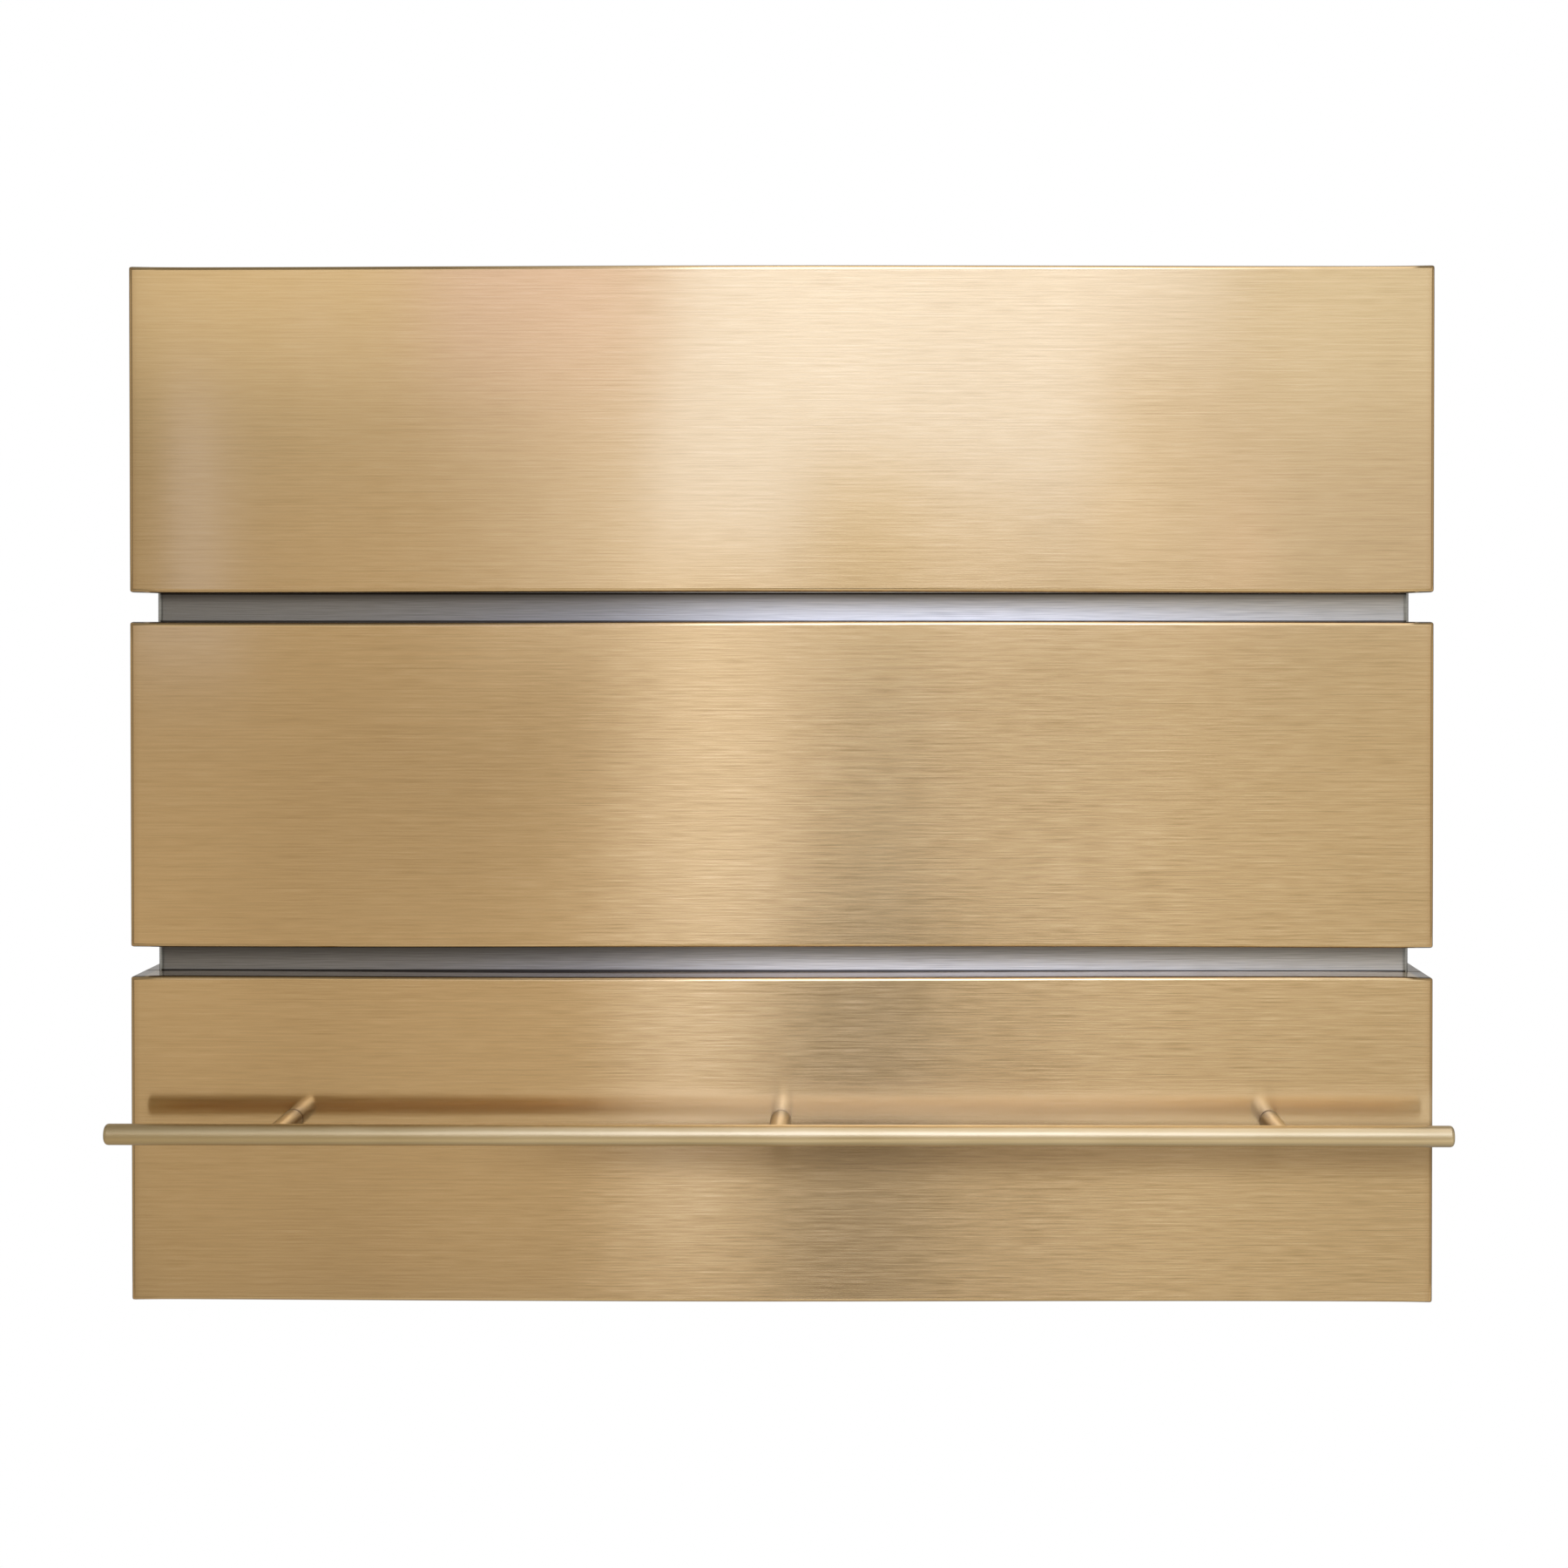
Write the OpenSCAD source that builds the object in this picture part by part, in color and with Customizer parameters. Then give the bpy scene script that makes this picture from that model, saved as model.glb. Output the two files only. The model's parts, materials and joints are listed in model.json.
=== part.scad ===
// Wall mounted mailbox.
// Three brushed brass bands stand off a recessed stainless core. The top band is a lid on a
// piano hinge at the wall, the lowest band is a drop-down door on a piano hinge at its foot,
// and a round rail on three posts runs across the door.
// The wall is the plane y = 0, the front faces -Y and Z points up.
// The origin is the centre of the four wall screw holes, on the wall.

/* [Box] */
// Width across the brass bands
box_w = 400; // [360:1:460]
// Depth from the wall to the brass fronts
box_d = 130; // [115:1:170]
// Height of each of the three bands
band_h = 100; // [92:1:130]
// Height of the recessed strip between two bands
reveal_h = 9; // [6:0.5:14]
// Depth of the recess, from the brass fronts to the core
front_reveal = 14.3; // [12:0.1:18]
// Depth of the recess at each side
side_reveal = 4.8; // [4.2:0.1:8]
// Gap between the wall and the rear edges of the bands
wall_gap = 3.5; // [3.2:0.1:4.2]

/* [Sheets] */
// Thickness of the brass sheet
brass_t = 1; // [0.8:0.1:1.2]
// Outer radius of the bends in the brass
bend_r = 1.2; // [1.1:0.1:2.2]
// Outer radius of the bends in the floor, door liner and back plate
tray_bend_r = 2.2; // [1.8:0.1:2.4]
// Thickness of the stainless sheet of the core, floor and door liner
steel_t = 1; // [0.8:0.1:1.2]
// Outer radius of the core's two front bends
core_bend_r = 2; // [1.5:0.1:3]
// Thickness of the back plate
plate_t = 1.2; // [1:0.1:2]
// Width of the folded rim round the letter mouth
rim_w = 10; // [8:1:14]
// Corner radius of the letter mouth
mouth_r = 6; // [3:1:10]
// Width of the back plate's side flanges
plate_flange = 16; // [12:1:19]
// Height of the floor's upturned edges
floor_lip = 9; // [8:0.5:10]
// Radius of the floor's drain holes
drain_r = 3; // [2:0.5:5]
// Distance between the floor's drain holes, side to side
drain_span = 280; // [200:5:320]

/* [Wall screws] */
// Distance between the wall screw holes, side to side
wall_hole_x = 300; // [240:5:330]
// Distance between the wall screw holes, up and down
wall_hole_z = 220; // [160:5:240]
// Radius of the wall screw holes
wall_hole_r = 3; // [2:0.25:4]

/* [Hinges] */
// Radius of the hinge pins
pin_r = 1.2; // [1:0.1:1.4]
// Outer radius of the hinge knuckles
knuckle_r = 2.4; // [2.1:0.1:2.6]
// Thickness of the hinge leaves
leaf_t = 0.8; // [0.6:0.1:1]
// Distance from the wall to the lid hinge's pin
lid_hinge_y = 6; // [5.6:0.1:7]
// Width of the lid hinge's leaves, from the pin
lid_leaf_w = 14; // [12:0.5:16]
// Width of the door hinge's leaves, from the pin
door_leaf_w = 9.8; // [9.4:0.1:10]
// Distance from each end of the hinges to the inside of the core
hinge_end_gap = 8.2; // [6.2:0.1:40]
// Knuckles along each hinge
knuckles = 19; // [9:2:31]
// Rivets in each leaf
leaf_rivets = 7; // [4:1:9]

/* [Door] */
// Width of the steel left at each side of the retrieval opening
jamb_w = 16.2; // [14:0.1:24]
// Height of the retrieval opening
opening_h = 67; // [58:1:67]
// Corner radius of the retrieval opening
opening_r = 6; // [3:1:10]
// Angle through which the door drops
door_open = 75; // [60:1:78]
// Gap between the door's back and the core
door_gap = 0.8; // [0.5:0.1:0.9]
// Distance of each stay from the end of the retrieval opening
stay_inset = 14; // [12:0.5:20]
// Radius of the stays' inner edge, from the hinge pin
stay_r = 58; // [54:0.5:60]
// Width of the stays' curved strip
stay_w = 8; // [6:0.5:8.5]
// Thickness of the stays
stay_t = 1.5; // [1.2:0.1:2]
// Width of the stays' foot, on the door liner
foot_w = 12; // [10:0.5:12]
// Length of the stays' tab that stops behind the core's front
tab_overlap = 8; // [5:0.5:10]
// Distance of each magnetic catch from the middle
catch_x = 110; // [70:1:125]
// Width of the magnetic catches' pole face
pole_w = 26; // [18:1:28]
// Height of the magnetic catches' pole face
pole_h = 5; // [4:0.5:5.5]

/* [Rail] */
// Diameter of the rail
rail_d = 6.35; // [5:0.05:8]
// Diameter of the rail's posts
post_d = 6.2; // [5:0.05:8]
// How far the rail passes each end of the box
rail_overhang = 1; // [-20:0.5:12]
// Distance from the brass front to the rail's axis
rail_stand_off = 25; // [18:0.5:34]
// Height of the rail's axis above the box's lower edge
rail_up = 56; // [45:0.5:62]
// Distance from each end of the box to the nearest post
post_inset = 50; // [48:1:90]
// Radius of the rail's rounded ends
rail_end_r = 1.1; // [0.4:0.1:1.6]
// Chamfer on the posts' feet
post_chamfer = 0.4; // [0.2:0.1:0.8]

/* [Fasteners] */
// Radius of the rivets' shanks
rivet_r = 1.6; // [1.2:0.1:1.8]
// Radius of the rivets' domed heads
rivet_head_r = 2.7; // [2.2:0.1:2.9]
// Height of the rivets' domed heads
rivet_head_h = 1; // [0.7:0.1:1.1]
// Radius of the screws' shanks
screw_r = 2; // [1.5:0.1:2.2]
// Radius of the screws' button heads
screw_head_r = 3.8; // [3.2:0.1:4.2]
// Height of the screws' button heads
screw_head_h = 2.4; // [1.8:0.1:2.8]
// Radius of the hexagon sockets in the screws' heads, across the corners
socket_r = 1.5; // [1:0.1:1.8]

/* [Clearances] */
// Gap round every pin, rivet and screw in its hole
fit = 0.05; // [0.03:0.01:0.08]
// Gap between neighbouring knuckles, and between a knuckle and what it turns past
turn_gap = 0.35; // [0.3:0.05:0.4]
// Gap between the lid's folded lower edge and the core
lid_gap = 1.2; // [1:0.1:1.6]
// Gap between the lid and its bumpers, and between the catches and their strikes
rest_gap = 0.3; // [0.3:0.05:0.4]

/* [Hidden] */
$fn = 64;

BRASS = "#c9a468";
STEEL = "#a9adb0";
PLAIN_STEEL = "#8d9194";
RUBBER = "#26262a";
MAGNET = "#35373a";

// An amount by which cutting shapes pass the surfaces they open
past = 1;

// Levels of the bands
box_h = 3 * band_h + 2 * reveal_h;
top_z = box_h / 2;
bottom_z = -top_z;
door_top_z = bottom_z + band_h;
middle_z0 = door_top_z + reveal_h;
middle_z1 = middle_z0 + band_h;
lid_z0 = middle_z1 + reveal_h;

// Planes of the brass and of the core
half_w = box_w / 2;
front_y = -box_d;
bend_inner_r = max(bend_r - brass_t, 0.1);
band_back_y = -wall_gap;
core_y = front_y + front_reveal;
core_back_y = core_y + steel_t;
core_half_w = half_w - side_reveal;
inner_half_w = core_half_w - steel_t;

// Hinges: a leaf's outer face lies leaf_face from the pin's axis
leaf_face = knuckle_r + turn_gap;
lid_axis_y = -lid_hinge_y;
lid_axis_z = top_z - brass_t - leaf_face;
shelf_z = lid_axis_z - leaf_face;
shelf_y = lid_axis_y - lid_leaf_w;
door_axis_y = core_y - leaf_face;
door_axis_z = bottom_z + brass_t + leaf_face;
hinge_l = 2 * (inner_half_w - hinge_end_gap);
knuckle_pitch = hinge_l / knuckles;

// Core, floor and back plate
core_z1 = shelf_z;
core_z0 = door_axis_z + leaf_face / 2;
floor_top_z = core_z0 + steel_t;
floor_lip_z = floor_top_z + floor_lip;
rim_y = core_back_y + rim_w;

// Retrieval opening, just above the body leaf of the door's hinge
opening_half_w = inner_half_w - jamb_w;
opening_margin = 4;
opening_z0 = door_axis_z + door_leaf_w + opening_margin;
opening_z1 = opening_z0 + opening_h;

// Door
door_back_y = core_y - door_gap;
liner_y = door_back_y - steel_t;
liner_z0 = door_axis_z + door_leaf_w + leaf_face;
liner_z1 = door_top_z - brass_t - turn_gap;
liner_half_w = half_w - brass_t - turn_gap;
liner_flange = 8;
door_relief_z = door_axis_z + leaf_face;
door_relief_y = door_axis_y - turn_gap;

// Relief in the side panels' lower front corners, which the door's foot turns through
side_relief_r = norm([door_axis_y - door_relief_y, door_axis_z - bottom_z]) + 2 * turn_gap;

// Stays: the tail's tab meets the back of the core's front when the door is fully open
stay_x = opening_half_w - stay_inset;
stay_mid_r = stay_r + stay_w / 2;
stay_tab_angle = acos((core_back_y + rest_gap - door_axis_y) / stay_r) - door_open;
stay_tail_turn = 3;
stay_tail_angle = stay_tab_angle - stay_tail_turn;
stay_tab_x = opening_half_w + tab_overlap;
foot_h = 20;
foot_corner_r = 2;
foot_rivet_gap = 6;
foot_z = door_axis_z + stay_mid_r - foot_h / 2;

// Magnetic catches, in windows above the retrieval opening
catch_play = 1;
catch_z = (opening_z1 + door_top_z) / 2;
strike_proud = 0.4;
strike_t = door_gap + strike_proud;
pole_y = door_back_y + strike_t + rest_gap;
catch_wall = 2;
catch_body_w = pole_w + 2 * catch_wall;
catch_body_h = pole_h + 2 * catch_wall;
catch_body_d = 9;
catch_ear = 9;
catch_ear_t = 1;
catch_corner_r = 1.2;
strike_corner_r = 1;
strike_pin_x = 8;
strike_pin_r = 1.2;
strike_pin_l = 2;

// Spacers between the core and the brass
hat_x = 0.62 * core_half_w;
hat_crown_w = 26;
hat_brim_w = 9;
hat_t = 1.5;
hat_h = 70;
hat_screw_dz = 44;
hat_screw_tail = 1;
strip_w = 30;
strip_h = 60;
strip_corner_r = 2;
strip_y = 0.6 * core_y;
strip_screw_dz = 36;
lower_strip_z = (bottom_z + door_top_z) / 2;
middle_z = (middle_z0 + middle_z1) / 2;

// Rivets of the core
plate_rivet_y = -plate_flange / 2;
plate_rivet_edge = 24;
plate_rivet_z = [for (z = [middle_z, lower_strip_z], e = [-1, 1]) z + e * (band_h / 2 - plate_rivet_edge)];
floor_rivet_y = [0.78 * core_back_y, 0.35 * core_back_y];
floor_rivet_z = floor_top_z + floor_lip / 2;
rivet_tail_r = 2.2;
rivet_tail_h = 1.6;
leaf_rivet_margin = 14;
leaf_rivet_step = (hinge_l - 2 * leaf_rivet_margin) / (leaf_rivets - 1);

// Drain holes in the floor
drain_y = [0.7 * core_back_y, 0.3 * core_back_y];

// Bumpers under the lid, on the rim
bumper_r = 4.5;
bumper_stem_r = 2;
bumper_bulb_r = 2.8;
bumper_bulb_h = 2.5;
bumper_x = inner_half_w - rim_w / 2;
bumper_y = core_back_y + rim_w / 2;
bumper_h = 2 * leaf_face - rest_gap;

// Rail
rail_r = rail_d / 2;
post_r = post_d / 2;
rail_y = front_y - rail_stand_off;
rail_z = bottom_z + rail_up;
rail_l = box_w + 2 * rail_overhang;
post_x = [post_inset - half_w, 0, half_w - post_inset];
screw_bite = 9;
sleeve_r = 4.5;

// ---- Shared shapes ----------------------------------------------------------------------

// Rectangle from y0 to y1, with its two corners at y0 rounded
module front_rounded(half, y0, y1, r) {
    translate([-half, y0 + r])
        square([2 * half, y1 - y0 - r]);
    translate([-half + r, y0])
        square([2 * half - 2 * r, y1 - y0]);
    for (s = [-1, 1])
        translate([s * (half - r), y0 + r])
            circle(r);
}

// Rectangle centred in x, with all four corners rounded
module all_rounded(half, y0, y1, r) {
    translate([-half, y0 + r])
        square([2 * half, y1 - y0 - 2 * r]);
    translate([-half + r, y0])
        square([2 * half - 2 * r, y1 - y0]);
    for (s = [-1, 1], y = [y0 + r, y1 - r])
        translate([s * (half - r), y])
            circle(r);
}

// Block with its front, top and bottom edges rounded and its back flat
module soft_block(half, y0, y1, z0, z1, r) {
    mid_z = (z0 + z1) / 2;
    intersection() {
        translate([0, 0, z0])
            linear_extrude(z1 - z0)
                front_rounded(half, y0, y1, r);
        translate([-half, 0, mid_z])
            rotate([90, 0, 90])
                linear_extrude(2 * half)
                    rotate(-90)
                        front_rounded((z1 - z0) / 2, y0, y1, r);
        translate([0, y1, 0])
            rotate([90, 0, 0])
                linear_extrude(y1 - y0)
                    all_rounded(half, z0, z1, r);
    }
}

// Sheet folded round a soft block: the back is open, and flanges stay at top and bottom
module folded_sheet(y0, y1, z0, z1) {
    difference() {
        soft_block(half_w, y0, y1, z0, z1, bend_r);
        soft_block(half_w - brass_t, y0 + brass_t, y1 + past, z0 + brass_t, z1 - brass_t,
                   bend_inner_r);
    }
}

// Turns a shape that is made along +Z to lie along +X, -X, +Y or -Y
module along(direction) {
    if (direction == "+x") rotate([0, 90, 0]) children();
    if (direction == "-x") rotate([0, -90, 0]) children();
    if (direction == "+y") rotate([-90, 0, 0]) children();
    if (direction == "-y") rotate([90, 0, 0]) children();
    if (direction == "+z") children();
    if (direction == "-z") mirror([0, 0, 1]) children();
}

// Shallow dome from z = -h up to z = 0, of radius r where it is widest
module dome(r, h) {
    ball_r = (r * r + h * h) / (2 * h);
    intersection() {
        translate([0, 0, ball_r - h])
            sphere(ball_r);
        translate([0, 0, -h - past])
            cylinder(h = h + past, r = r + past);
    }
}

// Rivet: domed head below z = 0, shank up through grip, flared tail beyond it
module rivet(grip) {
    flush_rivet(grip);
    translate([0, 0, grip - rivet_tail_h / 2])
        cylinder(h = rivet_tail_h, r = rivet_r);
    translate([0, 0, grip])
        cylinder(h = rivet_tail_h, r1 = rivet_tail_r, r2 = rivet_r);
}

// Rivet that is filed flush on its far side
module flush_rivet(grip) {
    dome(rivet_head_r, rivet_head_h);
    translate([0, 0, -rivet_head_h / 2])
        cylinder(h = grip + rivet_head_h / 2, r = rivet_r);
}

module rivet_hole(grip) {
    translate([0, 0, -past])
        cylinder(h = grip + 2 * past, r = rivet_r + fit);
}

// Screw: button head with a hexagon socket below z = 0, shank of length reach
module screw(reach) {
    difference() {
        dome(screw_head_r, screw_head_h);
        translate([0, 0, -screw_head_h - past])
            cylinder(h = screw_head_h / 2 + past, r = socket_r, $fn = 6);
    }
    translate([0, 0, -screw_head_h / 4])
        cylinder(h = reach + screw_head_h / 4, r = screw_r);
}

module screw_hole(depth) {
    translate([0, 0, -past])
        cylinder(h = depth + past, r = screw_r + fit);
}

// Tray folded from sheet of thickness t: a panel on its y0 side, and flanges round it up to y1
module tray(half, y0, y1, z0, z1, t) {
    difference() {
        soft_block(half, y0, y1, z0, z1, tray_bend_r);
        soft_block(half - t, y0 + t, y1 + past, z0 + t, z1 - t, tray_bend_r - t);
    }
}

// ---- Hinges -----------------------------------------------------------------------------

// One leaf of a piano hinge: pin along X at the origin, leaf towards -Y with its outer face
// up. Even and odd leaves take turns along the pin.
module hinge_leaf(width, parity) {
    strip_edge = knuckle_r + turn_gap;
    difference() {
        union() {
            translate([-hinge_l / 2, -width, leaf_face - leaf_t])
                cube([hinge_l, width - strip_edge, leaf_t]);
            for (i = [parity : 2 : knuckles - 1]) {
                x0 = -hinge_l / 2 + i * knuckle_pitch + (i == 0 ? 0 : turn_gap / 2);
                x1 = -hinge_l / 2 + (i + 1) * knuckle_pitch - (i == knuckles - 1 ? 0 : turn_gap / 2);
                translate([x0, -strip_edge - leaf_t, leaf_face - leaf_t])
                    cube([x1 - x0, strip_edge + leaf_t, leaf_t]);
                translate([x0, 0, 0])
                    along("+x")
                        cylinder(h = x1 - x0, r = knuckle_r);
            }
        }
        translate([-hinge_l / 2 - past, 0, 0])
            along("+x")
                cylinder(h = hinge_l + 2 * past, r = pin_r + fit);
        at_leaf_rivets(width)
            rivet_hole(leaf_t);
    }
}

// Places its children on a leaf's inner face, pointing through it
module at_leaf_rivets(width) {
    for (i = [0 : leaf_rivets - 1])
        translate([-hinge_l / 2 + leaf_rivet_margin + i * leaf_rivet_step,
                   -(width + knuckle_r) / 2, leaf_face - leaf_t])
            children();
}

module hinge_pin() {
    translate([-hinge_l / 2, 0, 0])
        along("+x")
            cylinder(h = hinge_l, r = pin_r);
}

module at_lid_hinge() {
    translate([0, lid_axis_y, lid_axis_z])
        children();
}

module at_lid_body_leaf() {
    at_lid_hinge()
        mirror([0, 0, 1])
            children();
}

module at_door_hinge() {
    translate([0, door_axis_y, door_axis_z])
        children();
}

module at_door_body_leaf() {
    at_door_hinge()
        rotate([-90, 0, 0])
            children();
}

module at_door_leaf() {
    at_door_hinge()
        mirror([0, 0, 1])
            children();
}

module lid_hinge_body_leaf() {
    color(STEEL)
        at_lid_body_leaf()
            hinge_leaf(lid_leaf_w, 0);
}

module lid_hinge_lid_leaf() {
    color(STEEL)
        at_lid_hinge()
            hinge_leaf(lid_leaf_w, 1);
}

module lid_hinge_pin() {
    color(PLAIN_STEEL)
        at_lid_hinge()
            hinge_pin();
}

module lid_hinge_body_rivets() {
    color(PLAIN_STEEL)
        at_lid_body_leaf()
            at_leaf_rivets(lid_leaf_w)
                rivet(leaf_t + plate_t);
}

module lid_hinge_lid_rivets() {
    color(BRASS)
        at_lid_hinge()
            at_leaf_rivets(lid_leaf_w)
                flush_rivet(leaf_t + brass_t);
}

module door_hinge_body_leaf() {
    color(STEEL)
        at_door_body_leaf()
            hinge_leaf(door_leaf_w, 0);
}

module door_hinge_door_leaf() {
    color(STEEL)
        at_door_leaf()
            hinge_leaf(door_leaf_w, 1);
}

module door_hinge_pin() {
    color(PLAIN_STEEL)
        at_door_hinge()
            hinge_pin();
}

module door_hinge_body_rivets() {
    color(PLAIN_STEEL)
        at_door_body_leaf()
            at_leaf_rivets(door_leaf_w)
                rivet(leaf_t + 2 * steel_t);
}

module door_hinge_door_rivets() {
    color(BRASS)
        at_door_leaf()
            at_leaf_rivets(door_leaf_w)
                flush_rivet(leaf_t + brass_t);
}

// ---- Core, back plate and floor ---------------------------------------------------------

module at_side_rivets() {
    for (s = [-1, 1]) {
        for (z = plate_rivet_z)
            translate([s * core_half_w, plate_rivet_y, z])
                along(s > 0 ? "-x" : "+x")
                    children();
        for (y = floor_rivet_y)
            translate([s * core_half_w, y, floor_rivet_z])
                along(s > 0 ? "-x" : "+x")
                    children();
    }
}

module at_catch_rivets() {
    for (s = [-1, 1], e = [-1, 1])
        translate([s * catch_x + e * (catch_body_w + catch_ear) / 2, core_back_y + catch_ear_t, catch_z])
            along("-y")
                children();
}

module at_hat_screws() {
    for (s = [-1, 1], e = [-1, 1])
        translate([s * hat_x, core_back_y, middle_z + e * hat_screw_dz / 2])
            along("-y")
                children();
}

module at_strip_screws(z) {
    for (s = [-1, 1], e = [-1, 1])
        translate([s * inner_half_w, strip_y, z + e * strip_screw_dz / 2])
            along(s > 0 ? "+x" : "-x")
                children();
}

module core_shell() {
    color(STEEL)
        difference() {
            union() {
                translate([0, 0, core_z0])
                    linear_extrude(core_z1 - core_z0)
                        difference() {
                            front_rounded(core_half_w, core_y, 0, core_bend_r);
                            front_rounded(inner_half_w, core_back_y, past, core_bend_r - steel_t);
                        }
                translate([0, 0, core_z1 - steel_t])
                    linear_extrude(steel_t)
                        difference() {
                            front_rounded(core_half_w - steel_t / 2, core_y + steel_t / 2, shelf_y,
                                          core_bend_r - steel_t / 2);
                            front_rounded(inner_half_w - rim_w, rim_y, shelf_y + past, mouth_r);
                        }
            }
            retrieval_cut();
            for (s = [-1, 1])
                translate([s * catch_x - pole_w / 2 - catch_play, core_y - past,
                           catch_z - pole_h / 2 - catch_play])
                    cube([pole_w + 2 * catch_play, steel_t + 2 * past, pole_h + 2 * catch_play]);
            at_side_rivets()
                rivet_hole(steel_t);
            at_catch_rivets()
                rivet_hole(steel_t + catch_ear_t);
            at_hat_screws()
                screw_hole(steel_t + past);
            at_strip_screws(middle_z)
                screw_hole(steel_t + past);
            at_strip_screws(lower_strip_z)
                screw_hole(steel_t + past);
            at_door_body_leaf()
                at_leaf_rivets(door_leaf_w)
                    rivet_hole(leaf_t + steel_t);
            for (s = [-1, 1])
                translate([s * bumper_x, bumper_y, core_z1 - steel_t - past])
                    cylinder(h = steel_t + 2 * past, r = bumper_stem_r + fit);
        }
}

module retrieval_cut() {
    translate([0, core_back_y + past, 0])
        rotate([90, 0, 0])
            linear_extrude(steel_t + 2 * past)
                all_rounded(opening_half_w, opening_z0, opening_z1, opening_r);
}

// The back plate's folded sheet: a panel on the wall, a shelf for the lid's hinge along its
// top edge and a flange at each side, above the floor's lips
module back_plate_sheet() {
    flange_z0 = floor_lip_z + turn_gap;
    difference() {
        mirror([0, 1, 0])
            tray(inner_half_w, 0, -shelf_y, core_z0 - past - tray_bend_r, core_z1, plate_t);
        translate([-half_w, shelf_y - past, core_z0 - past - tray_bend_r - past])
            cube([box_w, past - shelf_y + past, past + tray_bend_r + past]);
        translate([-half_w, shelf_y - past, core_z0 - past])
            cube([box_w, past - shelf_y - plate_t, flange_z0 - core_z0 + past]);
        translate([-half_w, shelf_y - past, core_z0 - past])
            cube([box_w, past - shelf_y - plate_flange, core_z1 - plate_t - turn_gap - core_z0 + past]);
    }
}

module back_plate() {
    color(STEEL)
        difference() {
            back_plate_sheet();
            for (x = [-1, 1], z = [-1, 1])
                translate([x * wall_hole_x / 2, past, z * wall_hole_z / 2])
                    along("-y")
                        cylinder(h = plate_t + 2 * past, r = wall_hole_r);
            at_side_rivets()
                rivet_hole(steel_t + plate_t);
            at_lid_body_leaf()
                at_leaf_rivets(lid_leaf_w)
                    rivet_hole(leaf_t + plate_t);
        }
}

module floor_plate() {
    color(STEEL)
        difference() {
            rotate([90, 0, 0])
                tray(inner_half_w, core_z0, floor_lip_z, plate_t, -core_back_y, steel_t);
            for (s = [-1, 1], y = drain_y)
                translate([s * drain_span / 2, y, core_z0 - past])
                    cylinder(h = steel_t + 2 * past, r = drain_r);
            at_side_rivets()
                rivet_hole(2 * steel_t);
            at_door_body_leaf()
                at_leaf_rivets(door_leaf_w)
                    rivet_hole(leaf_t + 2 * steel_t);
        }
}

module core_rivets() {
    color(PLAIN_STEEL) {
        for (s = [-1, 1]) {
            for (z = plate_rivet_z)
                translate([s * core_half_w, plate_rivet_y, z])
                    along(s > 0 ? "-x" : "+x")
                        rivet(steel_t + plate_t);
            for (y = floor_rivet_y)
                translate([s * core_half_w, y, floor_rivet_z])
                    along(s > 0 ? "-x" : "+x")
                        rivet(2 * steel_t);
        }
    }
}

// ---- Fixed brass and what carries it ----------------------------------------------------

module core_footprint(gap, z0, z1) {
    translate([0, 0, z0])
        linear_extrude(z1 - z0)
            front_rounded(core_half_w + gap, core_y - gap, past, core_bend_r + gap);
}

module middle_band() {
    color(BRASS)
        difference() {
            folded_sheet(front_y, band_back_y, middle_z0, middle_z1);
            core_footprint(0, middle_z0 - past, middle_z1 + past);
        }
}

module hat_section() {
    translate([-hat_crown_w / 2, core_y - hat_t])
        square([hat_crown_w, hat_t]);
    for (s = [-1, 1]) {
        translate([s * (hat_crown_w - hat_t) / 2 - hat_t / 2, front_y + brass_t])
            square([hat_t, front_reveal - brass_t]);
        translate([s * (hat_crown_w / 2 + hat_brim_w / 2) - (hat_brim_w + hat_t) / 2, front_y + brass_t])
            square([hat_brim_w + hat_t, hat_t]);
    }
}

module side_strip(s, z) {
    translate([s > 0 ? core_half_w : -half_w + brass_t, strip_y, 0])
        rotate([90, 0, 90])
            linear_extrude(side_reveal - brass_t)
                all_rounded(strip_w / 2, z - strip_h / 2, z + strip_h / 2, strip_corner_r);
}

module middle_band_spacers() {
    color(PLAIN_STEEL)
        difference() {
            for (s = [-1, 1]) {
                translate([s * hat_x, 0, middle_z - hat_h / 2])
                    linear_extrude(hat_h)
                        hat_section();
                side_strip(s, middle_z);
            }
            at_hat_screws()
                screw_hole(steel_t + hat_t + past);
            at_strip_screws(middle_z)
                screw_hole(steel_t + side_reveal - 2 * brass_t);
        }
}

module lower_side(s) {
    difference() {
        intersection() {
            folded_sheet(core_y, band_back_y, bottom_z, door_top_z);
            translate([s > 0 ? core_half_w : -half_w - past, front_y, bottom_z - past])
                cube([side_reveal + past, box_d, band_h + 2 * past]);
        }
        translate([-half_w - past, door_axis_y, door_axis_z])
            along("+x")
                cylinder(h = box_w + 2 * past, r = side_relief_r);
    }
}

module lower_side_left() {
    color(BRASS)
        lower_side(-1);
}

module lower_side_right() {
    color(BRASS)
        lower_side(1);
}

module lower_side_spacers() {
    color(PLAIN_STEEL)
        difference() {
            for (s = [-1, 1])
                side_strip(s, lower_strip_z);
            at_strip_screws(lower_strip_z)
                screw_hole(steel_t + side_reveal - 2 * brass_t);
        }
}

module cladding_screws() {
    color(PLAIN_STEEL) {
        at_hat_screws()
            screw(steel_t + hat_t + hat_screw_tail);
        at_strip_screws(middle_z)
            screw(steel_t + side_reveal - 2 * brass_t - turn_gap);
        at_strip_screws(lower_strip_z)
            screw(steel_t + side_reveal - 2 * brass_t - turn_gap);
    }
}

// ---- Lid --------------------------------------------------------------------------------

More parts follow.
